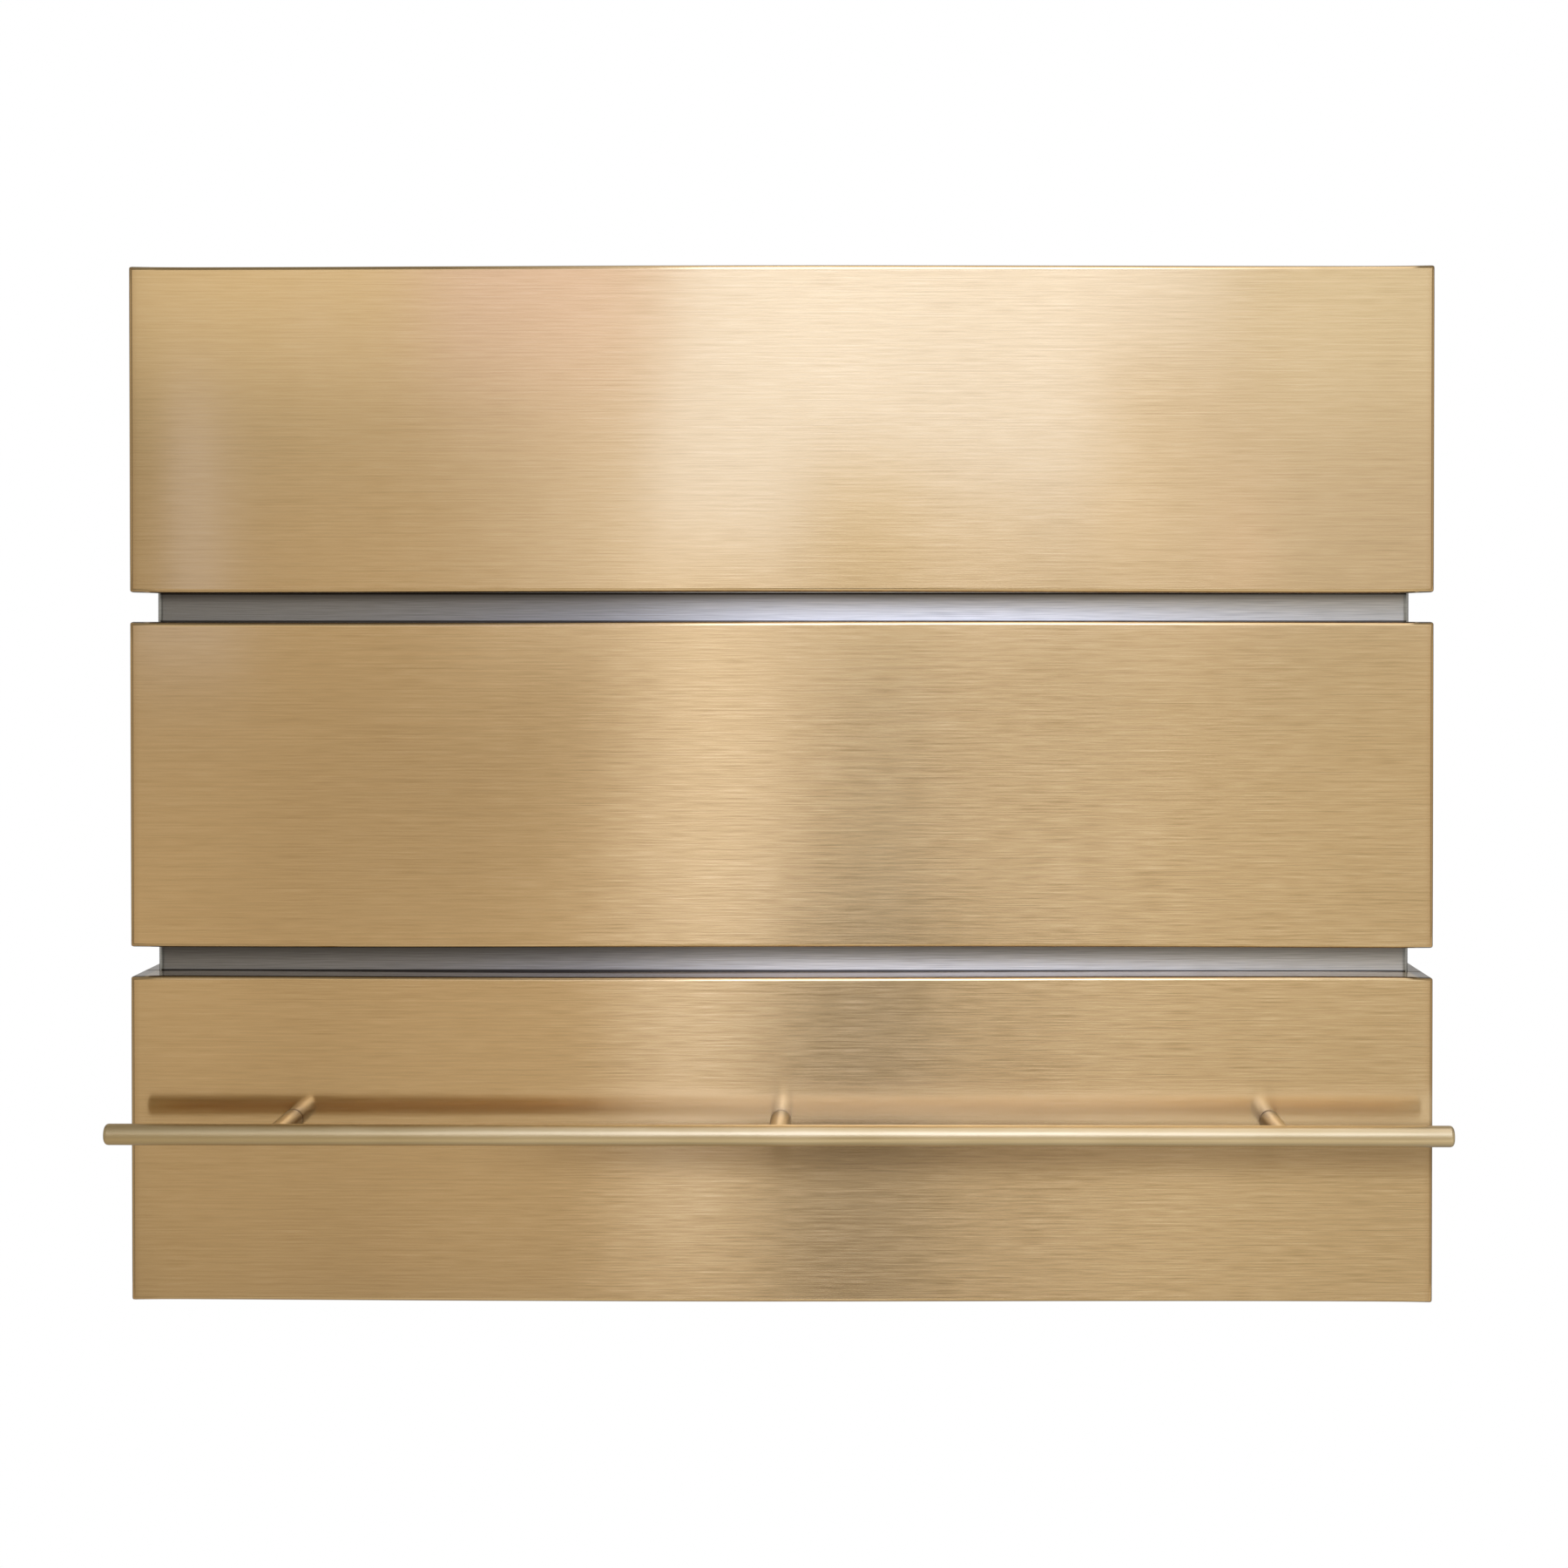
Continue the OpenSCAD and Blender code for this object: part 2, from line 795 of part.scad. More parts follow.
module lid_shell() {
    color(BRASS)
        difference() {
            folded_sheet(front_y, band_back_y, lid_z0, top_z);
            core_footprint(lid_gap, lid_z0 - past, lid_z0 + brass_t + past);
            at_lid_hinge()
                at_leaf_rivets(lid_leaf_w)
                    rivet_hole(leaf_t + brass_t);
        }
}

module lid_bumpers() {
    color(RUBBER)
        for (s = [-1, 1])
            translate([s * bumper_x, bumper_y, core_z1]) {
                cylinder(h = bumper_h, r = bumper_r);
                translate([0, 0, -steel_t - bumper_bulb_h / 2])
                    cylinder(h = steel_t + bumper_bulb_h, r = bumper_stem_r);
                translate([0, 0, -steel_t - bumper_bulb_h])
                    cylinder(h = bumper_bulb_h, r = bumper_bulb_r);
            }
}

// ---- Door -------------------------------------------------------------------------------

module door_shell() {
    color(BRASS)
        difference() {
            folded_sheet(front_y, door_back_y, bottom_z, door_top_z);
            translate([-half_w - past, door_relief_y, bottom_z - past])
                cube([box_w + 2 * past, front_reveal, door_relief_z - bottom_z + past]);
            at_door_leaf()
                at_leaf_rivets(door_leaf_w)
                    rivet_hole(leaf_t + brass_t);
            at_rail_posts()
                translate([0, 0, -brass_t])
                    screw_hole(brass_t + past);
        }
}

// Places its children at each post's foot on the brass front, pointing out of the door
module at_rail_posts() {
    for (x = post_x)
        translate([x, front_y, rail_z])
            along("-y")
                children();
}

module at_stay_rivets() {
    for (s = [-1, 1], e = [-1, 1])
        translate([s * (stay_x + foot_w / 2 + stay_t / 2), door_back_y + stay_t,
                   foot_z + foot_h / 2 + e * foot_rivet_gap])
            along("-y")
                children();
}

module door_liner() {
    color(STEEL)
        difference() {
            mirror([0, 1, 0])
                tray(liner_half_w, -door_back_y, liner_flange - door_back_y, liner_z0, liner_z1, steel_t);
            at_rail_posts()
                translate([0, 0, front_y - door_back_y])
                    screw_hole(steel_t + past);
            at_stay_rivets()
                rivet_hole(stay_t + steel_t);
            at_strike_pins()
                cylinder(h = 2 * steel_t, r = strike_pin_r + fit);
        }
}

// The stay's curved strip, drawn with the hinge pin at the origin
module stay_strip() {
    reach = 2 * (stay_r + stay_w);
    start_angle = acos((door_back_y + stay_t / 2 - door_axis_y) / stay_mid_r);
    intersection() {
        difference() {
            circle(stay_r + stay_w);
            circle(stay_r);
        }
        polygon([[0, 0],
                 [reach * cos(stay_tail_angle), reach * sin(stay_tail_angle)],
                 [reach, reach],
                 [reach * cos(start_angle), reach * sin(start_angle)]]);
    }
}

// Quadrant stay: a foot on the liner, a strip on a circle round the hinge pin, and a tab on
// its tail that stops against the back of the core's front
module stay() {
    translate([stay_x, door_axis_y, door_axis_z])
        rotate([90, 0, 90])
            linear_extrude(stay_t)
                stay_strip();
    translate([stay_x + foot_w / 2, door_back_y + stay_t, 0])
        rotate([90, 0, 0])
            linear_extrude(stay_t)
                all_rounded(foot_w / 2, foot_z, foot_z + foot_h, foot_corner_r);
    translate([stay_x, door_back_y, foot_z + foot_corner_r])
        cube([foot_w / 2, stay_t, foot_h - 2 * foot_corner_r]);
    translate([stay_x, door_axis_y, door_axis_z])
        rotate([stay_tab_angle, 0, 0])
            translate([0, stay_r, -stay_t])
                cube([stay_tab_x - stay_x, stay_w, stay_t]);
}

module stay_right() {
    color(PLAIN_STEEL)
        difference() {
            stay();
            at_stay_rivets()
                rivet_hole(stay_t);
        }
}

module stay_left() {
    color(PLAIN_STEEL)
        mirror([1, 0, 0])
            difference() {
                stay();
                at_stay_rivets()
                    rivet_hole(stay_t);
            }
}

module stay_rivets() {
    color(PLAIN_STEEL)
        at_stay_rivets()
            rivet(stay_t + steel_t);
}

module at_strike_pins() {
    for (s = [-1, 1], e = [-1, 1])
        translate([s * catch_x + e * strike_pin_x, door_back_y, catch_z])
            along("-y")
                children();
}

module strike_plates() {
    color(PLAIN_STEEL) {
        for (s = [-1, 1])
            translate([s * catch_x, door_back_y + strike_t, 0])
                rotate([90, 0, 0])
                    linear_extrude(strike_t)
                        all_rounded(pole_w / 2, catch_z - pole_h / 2, catch_z + pole_h / 2, strike_corner_r);
        at_strike_pins()
            translate([0, 0, -strike_t / 2])
                cylinder(h = strike_t / 2 + strike_pin_l, r = strike_pin_r);
    }
}

module magnet_catches() {
    ear_w = catch_body_w + 2 * catch_ear;
    color(MAGNET)
        difference() {
            for (s = [-1, 1])
                translate([s * catch_x, 0, catch_z]) {
                    mirror([0, 1, 0])
                        soft_block(catch_body_w / 2, -core_back_y - catch_body_d, -core_back_y,
                                   -catch_body_h / 2, catch_body_h / 2, catch_corner_r);
                    translate([0, core_back_y + catch_ear_t, 0])
                        rotate([90, 0, 0])
                            linear_extrude(catch_ear_t)
                                all_rounded(ear_w / 2, -catch_body_h / 2, catch_body_h / 2, catch_corner_r);
                    translate([-pole_w / 2, pole_y, -pole_h / 2])
                        cube([pole_w, core_back_y - pole_y + catch_ear_t, pole_h]);
                }
            at_catch_rivets()
                rivet_hole(steel_t + catch_ear_t);
        }
}

module catch_rivets() {
    color(PLAIN_STEEL)
        at_catch_rivets()
            flush_rivet(steel_t + catch_ear_t);
}

// ---- Rail -------------------------------------------------------------------------------

// Rod of radius rail_r along X with rounded ends
module rail_bar() {
    translate([-rail_l / 2, rail_y, rail_z])
        along("+x") {
            cylinder(h = rail_l, r = rail_r - rail_end_r);
            translate([0, 0, rail_end_r])
                cylinder(h = rail_l - 2 * rail_end_r, r = rail_r);
            for (end = [rail_end_r, rail_l - rail_end_r])
                translate([0, 0, end])
                    rotate_extrude()
                        translate([rail_r - rail_end_r, 0])
                            circle(rail_end_r);
        }
}

module rail() {
    color(BRASS)
        rail_bar();
}

// A post, hollowed at its outer end to seat the rail and tapped from the door
module post(x) {
    color(BRASS)
        difference() {
            translate([x, front_y, rail_z])
                along("-y") {
                    cylinder(h = post_chamfer, r1 = post_r - post_chamfer, r2 = post_r);
                    translate([0, 0, post_chamfer])
                        cylinder(h = rail_stand_off - post_chamfer, r = post_r);
                }
            translate([x - post_r - past, rail_y, rail_z])
                along("+x")
                    cylinder(h = post_d + 2 * past, r = rail_r);
            translate([x, front_y, rail_z])
                along("-y")
                    screw_hole(screw_bite + turn_gap);
        }
}

module post_left() {
    post(post_x[0]);
}

module post_centre() {
    post(post_x[1]);
}

module post_right() {
    post(post_x[2]);
}

// Sleeves that keep the liner and the brass front apart when the rail's screws are tight
module rail_spacers() {
    color(PLAIN_STEEL)
        difference() {
            at_rail_posts()
                translate([0, 0, front_y - liner_y])
                    cylinder(h = liner_y - front_y - brass_t, r = sleeve_r);
            at_rail_posts()
                translate([0, 0, front_y - liner_y - past])
                    cylinder(h = front_reveal + 2 * past, r = screw_r + fit);
        }
}

module rail_screws() {
    color(PLAIN_STEEL)
        at_rail_posts()
            translate([0, 0, front_y - door_back_y])
                screw(door_back_y - front_y + screw_bite);
}

back_plate();
core_shell();
floor_plate();
core_rivets();
middle_band();
middle_band_spacers();
lower_side_left();
lower_side_right();
lower_side_spacers();
cladding_screws();
lid_shell();
lid_hinge_body_leaf();
lid_hinge_lid_leaf();
lid_hinge_pin();
lid_hinge_body_rivets();
lid_hinge_lid_rivets();
lid_bumpers();
door_shell();
door_liner();
door_hinge_body_leaf();
door_hinge_door_leaf();
door_hinge_pin();
door_hinge_body_rivets();
door_hinge_door_rivets();
stay_left();
stay_right();
stay_rivets();
magnet_catches();
catch_rivets();
strike_plates();
rail();
post_left();
post_centre();
post_right();
rail_spacers();
rail_screws();
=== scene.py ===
"""Wall mounted mailbox of brushed brass bands on a stainless core, dressed for rendering."""
import json
import math

import bmesh
import bpy
from mathutils import Matrix, Vector


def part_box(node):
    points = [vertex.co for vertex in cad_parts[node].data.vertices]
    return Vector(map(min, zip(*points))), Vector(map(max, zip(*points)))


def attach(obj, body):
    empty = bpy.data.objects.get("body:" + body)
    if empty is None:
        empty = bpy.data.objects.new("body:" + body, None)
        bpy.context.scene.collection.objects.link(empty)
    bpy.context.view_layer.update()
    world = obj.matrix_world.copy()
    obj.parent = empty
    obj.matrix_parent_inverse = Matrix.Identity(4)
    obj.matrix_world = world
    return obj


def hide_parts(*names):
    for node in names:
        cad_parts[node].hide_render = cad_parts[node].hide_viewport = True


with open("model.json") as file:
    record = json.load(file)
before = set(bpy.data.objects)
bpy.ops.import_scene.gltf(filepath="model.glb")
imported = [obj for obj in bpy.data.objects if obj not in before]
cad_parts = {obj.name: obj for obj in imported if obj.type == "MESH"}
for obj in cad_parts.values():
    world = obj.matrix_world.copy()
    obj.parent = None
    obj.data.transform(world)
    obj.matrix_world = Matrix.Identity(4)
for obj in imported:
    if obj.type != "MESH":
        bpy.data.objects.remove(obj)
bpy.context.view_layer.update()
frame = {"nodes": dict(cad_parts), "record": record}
scene = bpy.context.scene
scene.view_settings.view_transform = "Standard"

MM = 0.001

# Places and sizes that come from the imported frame.
BAND_LOW, BAND_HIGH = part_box("middle_band")
CORE_LOW, CORE_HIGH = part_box("core_shell")
FRONT_Y = BAND_LOW.y
HALF_W = BAND_HIGH.x
BAND_H = BAND_HIGH.z - BAND_LOW.z
BAND_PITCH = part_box("lid_shell")[1].z - BAND_HIGH.z
REVEAL_H = BAND_PITCH - BAND_H
RAIL_FOOT_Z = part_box("rail")[0].z


def new_object(name, data):
    """Puts a mesh, lamp or camera in the scene."""
    obj = bpy.data.objects.new(name, data)
    scene.collection.objects.link(obj)
    return obj


# ---- Camera ------------------------------------------------------------------------------

# Metres from the middle of the box's front, degrees, and millimetres of lens and sensor.
CAMERA_DISTANCE = 0.8406
CAMERA_RIGHT, CAMERA_UP = 0.0278, 0.0514
CAMERA_TURN, CAMERA_TILT = 0.495, -0.732
CAMERA_LENS, CAMERA_SENSOR = 63.0, 36.0
CAMERA_SHIFT = (-0.0405, -0.0840)


def make_camera():
    """A camera a little right of the middle and above it, turned slightly left and down."""
    data = bpy.data.cameras.new("camera")
    data.lens = CAMERA_LENS
    data.sensor_width = CAMERA_SENSOR
    data.shift_x, data.shift_y = CAMERA_SHIFT
    data.clip_start = 0.05
    camera = new_object("camera", data)
    camera.location = (CAMERA_RIGHT, FRONT_Y - CAMERA_DISTANCE, CAMERA_UP)
    camera.rotation_euler = (math.radians(90 + CAMERA_TILT), 0, math.radians(CAMERA_TURN))
    scene.camera = camera


# ---- Shader graphs -----------------------------------------------------------------------

class Value:
    """One socket of a node tree. Arithmetic on it adds Math nodes."""

    def __init__(self, graph, socket):
        self.graph = graph
        self.socket = socket

    def __add__(self, other):
        return self.graph.math("ADD", self, other)

    __radd__ = __add__

    def __sub__(self, other):
        return self.graph.math("SUBTRACT", self, other)

    def __rsub__(self, other):
        return self.graph.math("SUBTRACT", other, self)

    def __mul__(self, other):
        return self.graph.math("MULTIPLY", self, other)

    __rmul__ = __mul__

    def __truediv__(self, other):
        return self.graph.math("DIVIDE", self, other)

    def __pow__(self, other):
        return self.graph.math("POWER", self, other)

    def __abs__(self):
        return self.graph.math("ABSOLUTE", self)

    def above(self, limit):
        """1 where the value is over the limit, else 0."""
        return self.graph.math("GREATER_THAN", self, limit)


class Graph:
    """Adds nodes to one tree."""

    def __init__(self, tree):
        self.tree = tree
        tree.nodes.clear()

    def node(self, kind, settings=None, inputs=None, output=0):
        """Adds a node. Its settings are set first, then each named or numbered input."""
        made = self.tree.nodes.new(kind)
        for name, value in (settings or {}).items():
            if name == "stops":
                self.set_stops(made.color_ramp, value)
            else:
                setattr(made, name, value)
        for key, value in (inputs or {}).items():
            socket = made.inputs[key]
            if isinstance(value, (Value, list)):
                for one in value if isinstance(value, list) else [value]:
                    self.tree.links.new(one.socket, socket)
            else:
                socket.default_value = value
        return Value(self, made.outputs[output]) if len(made.outputs) else made

    @staticmethod
    def set_stops(ramp, stops):
        """Gives a colour ramp its (place, colour) stops."""
        while len(ramp.elements) < len(stops):
            ramp.elements.new(0.5)
        for element, (place, colour) in zip(ramp.elements, stops):
            element.position = place
            element.color = (*colour, 1)

    def math(self, operation, *terms):
        """One Math node. Its terms are values or numbers."""
        return self.node("ShaderNodeMath", {"operation": operation}, dict(enumerate(terms)))

    def larger(self, a, b):
        return self.math("MAXIMUM", a, b)

    def clamp(self, value):
        return self.node("ShaderNodeClamp", None, {"Value": value})

    def step(self, value, start, end):
        """0 below start, 1 above end, and a smooth step between them."""
        return self.node("ShaderNodeMapRange", {"interpolation_type": "SMOOTHSTEP"},
                         {"Value": value, "From Min": start, "From Max": end})

    def mix(self, factor, a, b):
        return self.node("ShaderNodeMix", {"data_type": "FLOAT"}, {0: factor, 2: a, 3: b})

    def vary(self, middle, *swings):
        """A value that swings about its middle. Each swing is (a noise from 0 to 1, how wide)."""
        total = middle - sum(width for _, width in swings) / 2
        for noise, width in swings:
            total = noise * width + total
        return total

    def colour_mix(self, factor, a, b):
        """Colour a at factor 0 and b at 1. Either may be a value or (red, green, blue)."""
        a, b = (side if isinstance(side, Value) else (*side, 1) for side in (a, b))
        return self.node("ShaderNodeMix", {"data_type": "RGBA"}, {0: factor, 6: a, 7: b}, output=2)

    def vector(self, x, y, z):
        return self.node("ShaderNodeCombineXYZ", None, {0: x, 1: y, 2: z})

    def split(self, vector):
        made = self.node("ShaderNodeSeparateXYZ", None, {0: vector}).socket.node
        return [Value(self, out) for out in made.outputs]

    def noise(self, vector, scale=1.0, detail=2.0, rough=0.5):
        return self.node("ShaderNodeTexNoise", {"noise_dimensions": "3D"},
                         {"Vector": vector, "Scale": scale, "Detail": detail, "Roughness": rough})

    def lines(self, along, across, marks, seed=0.0):
        """Plain noise drawn out along one way. `marks` is (marks a metre along, and across)."""
        place = self.vector(along * marks[0], across * marks[1], seed)
        return self.noise(place, detail=0.0)

    def bump(self, height, depth):
        """Marks `depth` metres deep, for a Normal socket."""
        return self.node("ShaderNodeBump", None,
                         {"Strength": 1.0, "Distance": depth, "Height": height})

    def blend_shaders(self, factor, first, second):
        return self.node("ShaderNodeMixShader", None, {0: factor, 1: first, 2: second})

    def principled(self, **inputs):
        """A Principled shader, with each input's name written with _ for its spaces."""
        return self.node("ShaderNodeBsdfPrincipled", None,
                         {name.replace("_", " "): value for name, value in inputs.items()})

    def coordinate(self, which):
        """Texture Coordinate's output of that name."""
        made = self.node("ShaderNodeTexCoord").socket.node
        return Value(self, made.outputs[which])

    def object_xyz(self):
        return self.split(self.coordinate("Object"))

    def normal_xyz(self):
        return self.split(self.coordinate("Normal"))


def new_material(name):
    material = bpy.data.materials.new(name)
    material.use_nodes = True
    return material, Graph(material.node_tree)


def finish_material(graph, shader):
    graph.node("ShaderNodeOutputMaterial", None, {"Surface": shader})


# Brush marks a metre: (along the marks, across them).
LONG_HAIRS = (30.0, 3400.0)
SHORT_HAIRS = (110.0, 2900.0)
BROAD_STROKES = (14.0, 1900.0)
FACING = 0.7  # a face looks along an axis where its normal has more than this of it


def sheet_coordinates(graph):
    """(along, across): metres along and across the brush marks of folded sheet."""
    x, y, z = graph.object_xyz()
    nx, _, nz = graph.normal_xyz()
    side, level = abs(nx).above(FACING), abs(nz).above(FACING)
    return graph.mix(side, x, y), graph.mix(level, z, y)


def brush_marks(graph):
    """(hairs, strokes): fine hair lines, long and short, and fainter broad strokes."""
    along, across = sheet_coordinates(graph)
    long_hairs = graph.lines(along, across, LONG_HAIRS)
    short_hairs = graph.lines(along, across, SHORT_HAIRS, seed=3.0)
    strokes = graph.lines(along, across, BROAD_STROKES, seed=7.0)
    return long_hairs * 0.5 + short_hairs * 0.5, strokes


# Where each mark of the brass fades in, painted shade and light among them, as (none from here,
# full from here) on the box.
END_SHADE_X = (HALF_W - 3 * MM, HALF_W)
BESIDE_CORE_X = (CORE_HIGH.x - MM, CORE_HIGH.x + MM)
LEFT_LEDGE_X = (-20 * MM, -90 * MM)
DOOR_FACE_Y = (FRONT_Y + 0.9 * MM, FRONT_Y + 0.5 * MM)
RAIL_PAINT_X = (-110 * MM, -20 * MM)
RAIL_SHADOW_Z = (RAIL_FOOT_Z - 18 * MM, RAIL_FOOT_Z - 6 * MM)
RAIL_LIGHT_Z = (RAIL_FOOT_Z, RAIL_FOOT_Z + 4 * MM)
RAIL_LIGHT_TOP_Z = (RAIL_FOOT_Z + 16 * MM, RAIL_FOOT_Z + 9 * MM)
OPEN_GRAIN_X = (-75 * MM, -35 * MM)
CLOSING_GRAIN_X = (90 * MM, 160 * MM)
OPEN_GRAIN_Z = (80 * MM, -80 * MM)

GRAIN_CLOSES = 0.45
LEVEL = 0.8  # a flange's normal leans up or down at least this much
# How dark the painted shade is on the flanges beside the core and at the left.
BESIDE_CORE_SHADE, LEFT_LEDGE_SHADE = 0.9, 0.5


def painted_end_shade(graph):
    """How much painted shade darkens the two ends of a band."""
    x, _, _ = graph.object_xyz()
    return graph.step(abs(x), *END_SHADE_X)


def painted_ledge_shade(graph):
    """Painted shade on the flanges that face a reveal: most beside the core, and more at the left.
    """
    x, _, z = graph.object_xyz()
    _, _, nz = graph.normal_xyz()
    flange = abs(nz).above(LEVEL) * abs(z).above(BAND_H / 2 - MM) * (1.0 - abs(z).above(BAND_PITCH))
    beside, left = graph.step(abs(x), *BESIDE_CORE_X), graph.step(x, *LEFT_LEDGE_X)
    return flange * graph.larger(beside * BESIDE_CORE_SHADE, left * LEFT_LEDGE_SHADE)


def painted_rail_light_and_shadow(graph):
    """(lit_above_rail, shadow_below_rail): painted light on the door just above its rail and a
    painted shadow below it, more in the middle and at the right than at the left."""
    x, y, z = graph.object_xyz()
    rail_paint_zone = graph.step(y, *DOOR_FACE_Y) * graph.step(x, *RAIL_PAINT_X)
    shadow_below_rail = graph.step(z, *RAIL_SHADOW_Z)
    lit_above_rail = graph.step(z, *RAIL_LIGHT_Z)
    return rail_paint_zone * lit_above_rail * graph.step(z, *RAIL_LIGHT_TOP_Z), rail_paint_zone * shadow_below_rail * (1.0 - lit_above_rail)


# The same for the core's painted shade, with the last three measured down from the band above.
CORE_FRONT_Y = (CORE_LOW.y + 0.5 * MM, CORE_LOW.y + 0.2 * MM)
CORE_SIDE_X = (CORE_HIGH.x - 0.5 * MM, CORE_HIGH.x - 0.2 * MM)
CORE_EDGE_X = (CORE_HIGH.x - 1.6 * MM, CORE_HIGH.x - 0.4 * MM)
CORE_LEFT_X = (10 * MM, -70 * MM)
LOWER_REVEAL_Z = (MM, -MM)
LINE_BELOW = (1.2 * MM, 0.3 * MM)
SEAM_BELOW = (REVEAL_H - 0.5 * MM, REVEAL_H - 0.3 * MM)
SEAM_END_BELOW = (REVEAL_H + 3.0 * MM, REVEAL_H + 1.5 * MM)
# How far down the painted shade under a band reaches, in the upper and the lower reveal.
UPPER_SHADE, LOWER_SHADE = 3.8 * MM, 8.4 * MM
# How dark the painted shade makes the core on the line under a band, in the shade below that
# line, at the seam of the reveal's foot, at the left, and at its vertical edges.
LINE_DARK, FADE_DARK, SEAM_DARK = 0.97, 0.68, 0.85
LEFT_SHADE, EDGE_SHADE = 0.42, 0.6


def painted_reveal_shade(graph):
    """Painted shade on the core in a reveal: nearly black under the band above and at the reveal's
    foot, and darker at the left and at the vertical edges."""
    x, y, z = graph.object_xyz()
    outside = graph.larger(graph.step(y, *CORE_FRONT_Y), graph.step(abs(x), *CORE_SIDE_X))
    below = graph.math("WRAP", BAND_PITCH - BAND_H / 2 - z, BAND_PITCH, 0.0)
    reach = graph.mix(graph.step(z, *LOWER_REVEAL_Z), UPPER_SHADE, LOWER_SHADE)
    line = graph.step(below, *LINE_BELOW)
    fade = 1.0 - graph.step(below / reach, 0.0, 1.0)
    seam = graph.step(below, *SEAM_BELOW) * graph.step(below, *SEAM_END_BELOW)
    left, edge = graph.step(x, *CORE_LEFT_X), graph.step(abs(x), *CORE_EDGE_X)
    left_and_edge_shade = graph.larger(left * LEFT_SHADE, edge * EDGE_SHADE)
    shade = graph.larger(graph.larger(line * LINE_DARK, fade * FADE_DARK), seam * SEAM_DARK)
    return (1.0 - (1.0 - shade) * (1.0 - left_and_edge_shade)) * outside


def open_grain(graph):
    """How far the brush marks open up: not on the lid or at the left, and fully low on the door.
    They close up a little at the right."""
    x, _, z = graph.object_xyz()
    right = 1.0 - graph.step(x, *CLOSING_GRAIN_X) * GRAIN_CLOSES
    return graph.step(x, *OPEN_GRAIN_X) * right * graph.step(z, *OPEN_GRAIN_Z)


# How strong the painted shade is at a band's ends, and the painted light and shadow round the rail.
END_SHADE_STRENGTH, RAIL_LIGHT_STRENGTH, RAIL_SHADOW_STRENGTH = 0.5, 0.6, 0.55
RAIL_SHADOW_DARKNESS = 0.45  # the painted shadow is the tint, darkened to this
# Colour of the painted shade on the flanges.
LEDGE_SHADE_COLOUR = (0.06, 0.03, 0.012)
EVEN_GRAIN = 0.35  # how open the marks are on sheet whose grain is the same all over
CLOSED_CONTRAST, OPEN_CONTRAST = 0.60, 0.55  # of the marks where closed, and what opening adds


def brass_with_painted_light_and_shade(graph, colour, bright, tint):
    """Brass sheet with painted shade at its ends and ledges, and painted light and shadow round the
    rail.
    """
    # Painted shade at the band's ends.
    colour = graph.colour_mix(painted_end_shade(graph) * END_SHADE_STRENGTH, colour, tint)
    # Painted shade on the ledges.
    colour = graph.colour_mix(painted_ledge_shade(graph), colour, LEDGE_SHADE_COLOUR)
    # Painted light just above the rail and a painted shadow below it.
    lit_above_rail, shadow_below_rail = painted_rail_light_and_shadow(graph)
    colour = graph.colour_mix(lit_above_rail * RAIL_LIGHT_STRENGTH, colour, bright)
    return graph.colour_mix(shadow_below_rail * RAIL_SHADOW_STRENGTH, colour,
                            tuple(RAIL_SHADOW_DARKNESS * part for part in tint))


def brushed_sheet(name, shades, polish, haze, coat, mark_depth,
                  combed=None, tint=None, painted_shade_colour=None):
    """Sheet metal brushed along its length. `polish` is (roughness, stretch) of its clear mirror
    image, `haze` is (roughness, stretch, share) of the soft scatter over it, and `combed` is
    (roughness, stretch, share) of the scatter across the marks where they open up."""
    material, graph = new_material(name)
    hairs, strokes = brush_marks(graph)
    clouds = graph.noise(graph.coordinate("Object"), scale=11.0, detail=3.0)
    opened = open_grain(graph) if combed else EVEN_GRAIN
    contrast = opened ** 0.5 * OPEN_CONTRAST + CLOSED_CONTRAST
    tone = graph.vary(0.5, (strokes, 0.15), (clouds, 0.3)) + (hairs - 0.5) * contrast
    colour = graph.node("ShaderNodeValToRGB", {"stops": list(zip((0.0, 0.5, 1.0), shades))},
                        {0: graph.clamp(tone)})
    # Painted shade at the band ends and on the ledges, and painted light and shadow round the rail.
    if tint:
        colour = brass_with_painted_light_and_shade(graph, colour, shades[2], tint)
    # Painted shade in the core's reveals.
    if painted_shade_colour:
        colour = graph.colour_mix(painted_reveal_shade(graph), colour, painted_shade_colour)
    bump = graph.bump(hairs, mark_depth)

    def lobe(roughness, stretch):
        gloss = graph.clamp(graph.vary(roughness, (strokes, 0.03), (clouds, 0.04)))
        return graph.principled(Base_Color=colour, Metallic=1.0, Roughness=gloss,
                                Anisotropic=stretch, Anisotropic_Rotation=0.25,
                                Coat_Weight=coat, Coat_Roughness=0.08, Normal=bump)

    shader = lobe(*polish)
    if combed:
        shader = graph.blend_shaders(opened * combed[2], shader, lobe(*combed[:2]))
    scatter = graph.clamp(graph.vary(haze[2], (hairs, 0.3)))
    finish_material(graph, graph.blend_shaders(scatter, shader, lobe(*haze[:2])))
    return material


TURNING_MARKS = (25.0, 1500.0)  # marks a metre along a rod, and round it
ROD_END_TONE = 0.3  # how much of its tone the rail keeps under the painted shade at its left end
# Where the painted shade on the rail and its posts changes, as (none from here, full from here).
BRIGHT_ROD_X = (-200 * MM, 10 * MM)
OUTSIDE_DOOR_Y = (FRONT_Y + 3 * MM, FRONT_Y + MM)
BEHIND_RAIL_Y = (FRONT_Y - 21 * MM, FRONT_Y - 18 * MM)
POST_FOOT_Y = (FRONT_Y - 14 * MM, FRONT_Y)
POST_JOINT_Y = (FRONT_Y - 1.2 * MM, FRONT_Y - 0.3 * MM)
UNDERSIDE_LEAN = (-0.82, -0.93)
SIDE_LEAN = (0.6, 0.95)
# How dark the painted shade is on the underside, at the posts' sides, at their feet and joints.
UNDER_SHADE, SIDE_SHADE, FOOT_SHADE, JOINT_SHADE = 0.6, 0.75, 0.55, 0.4


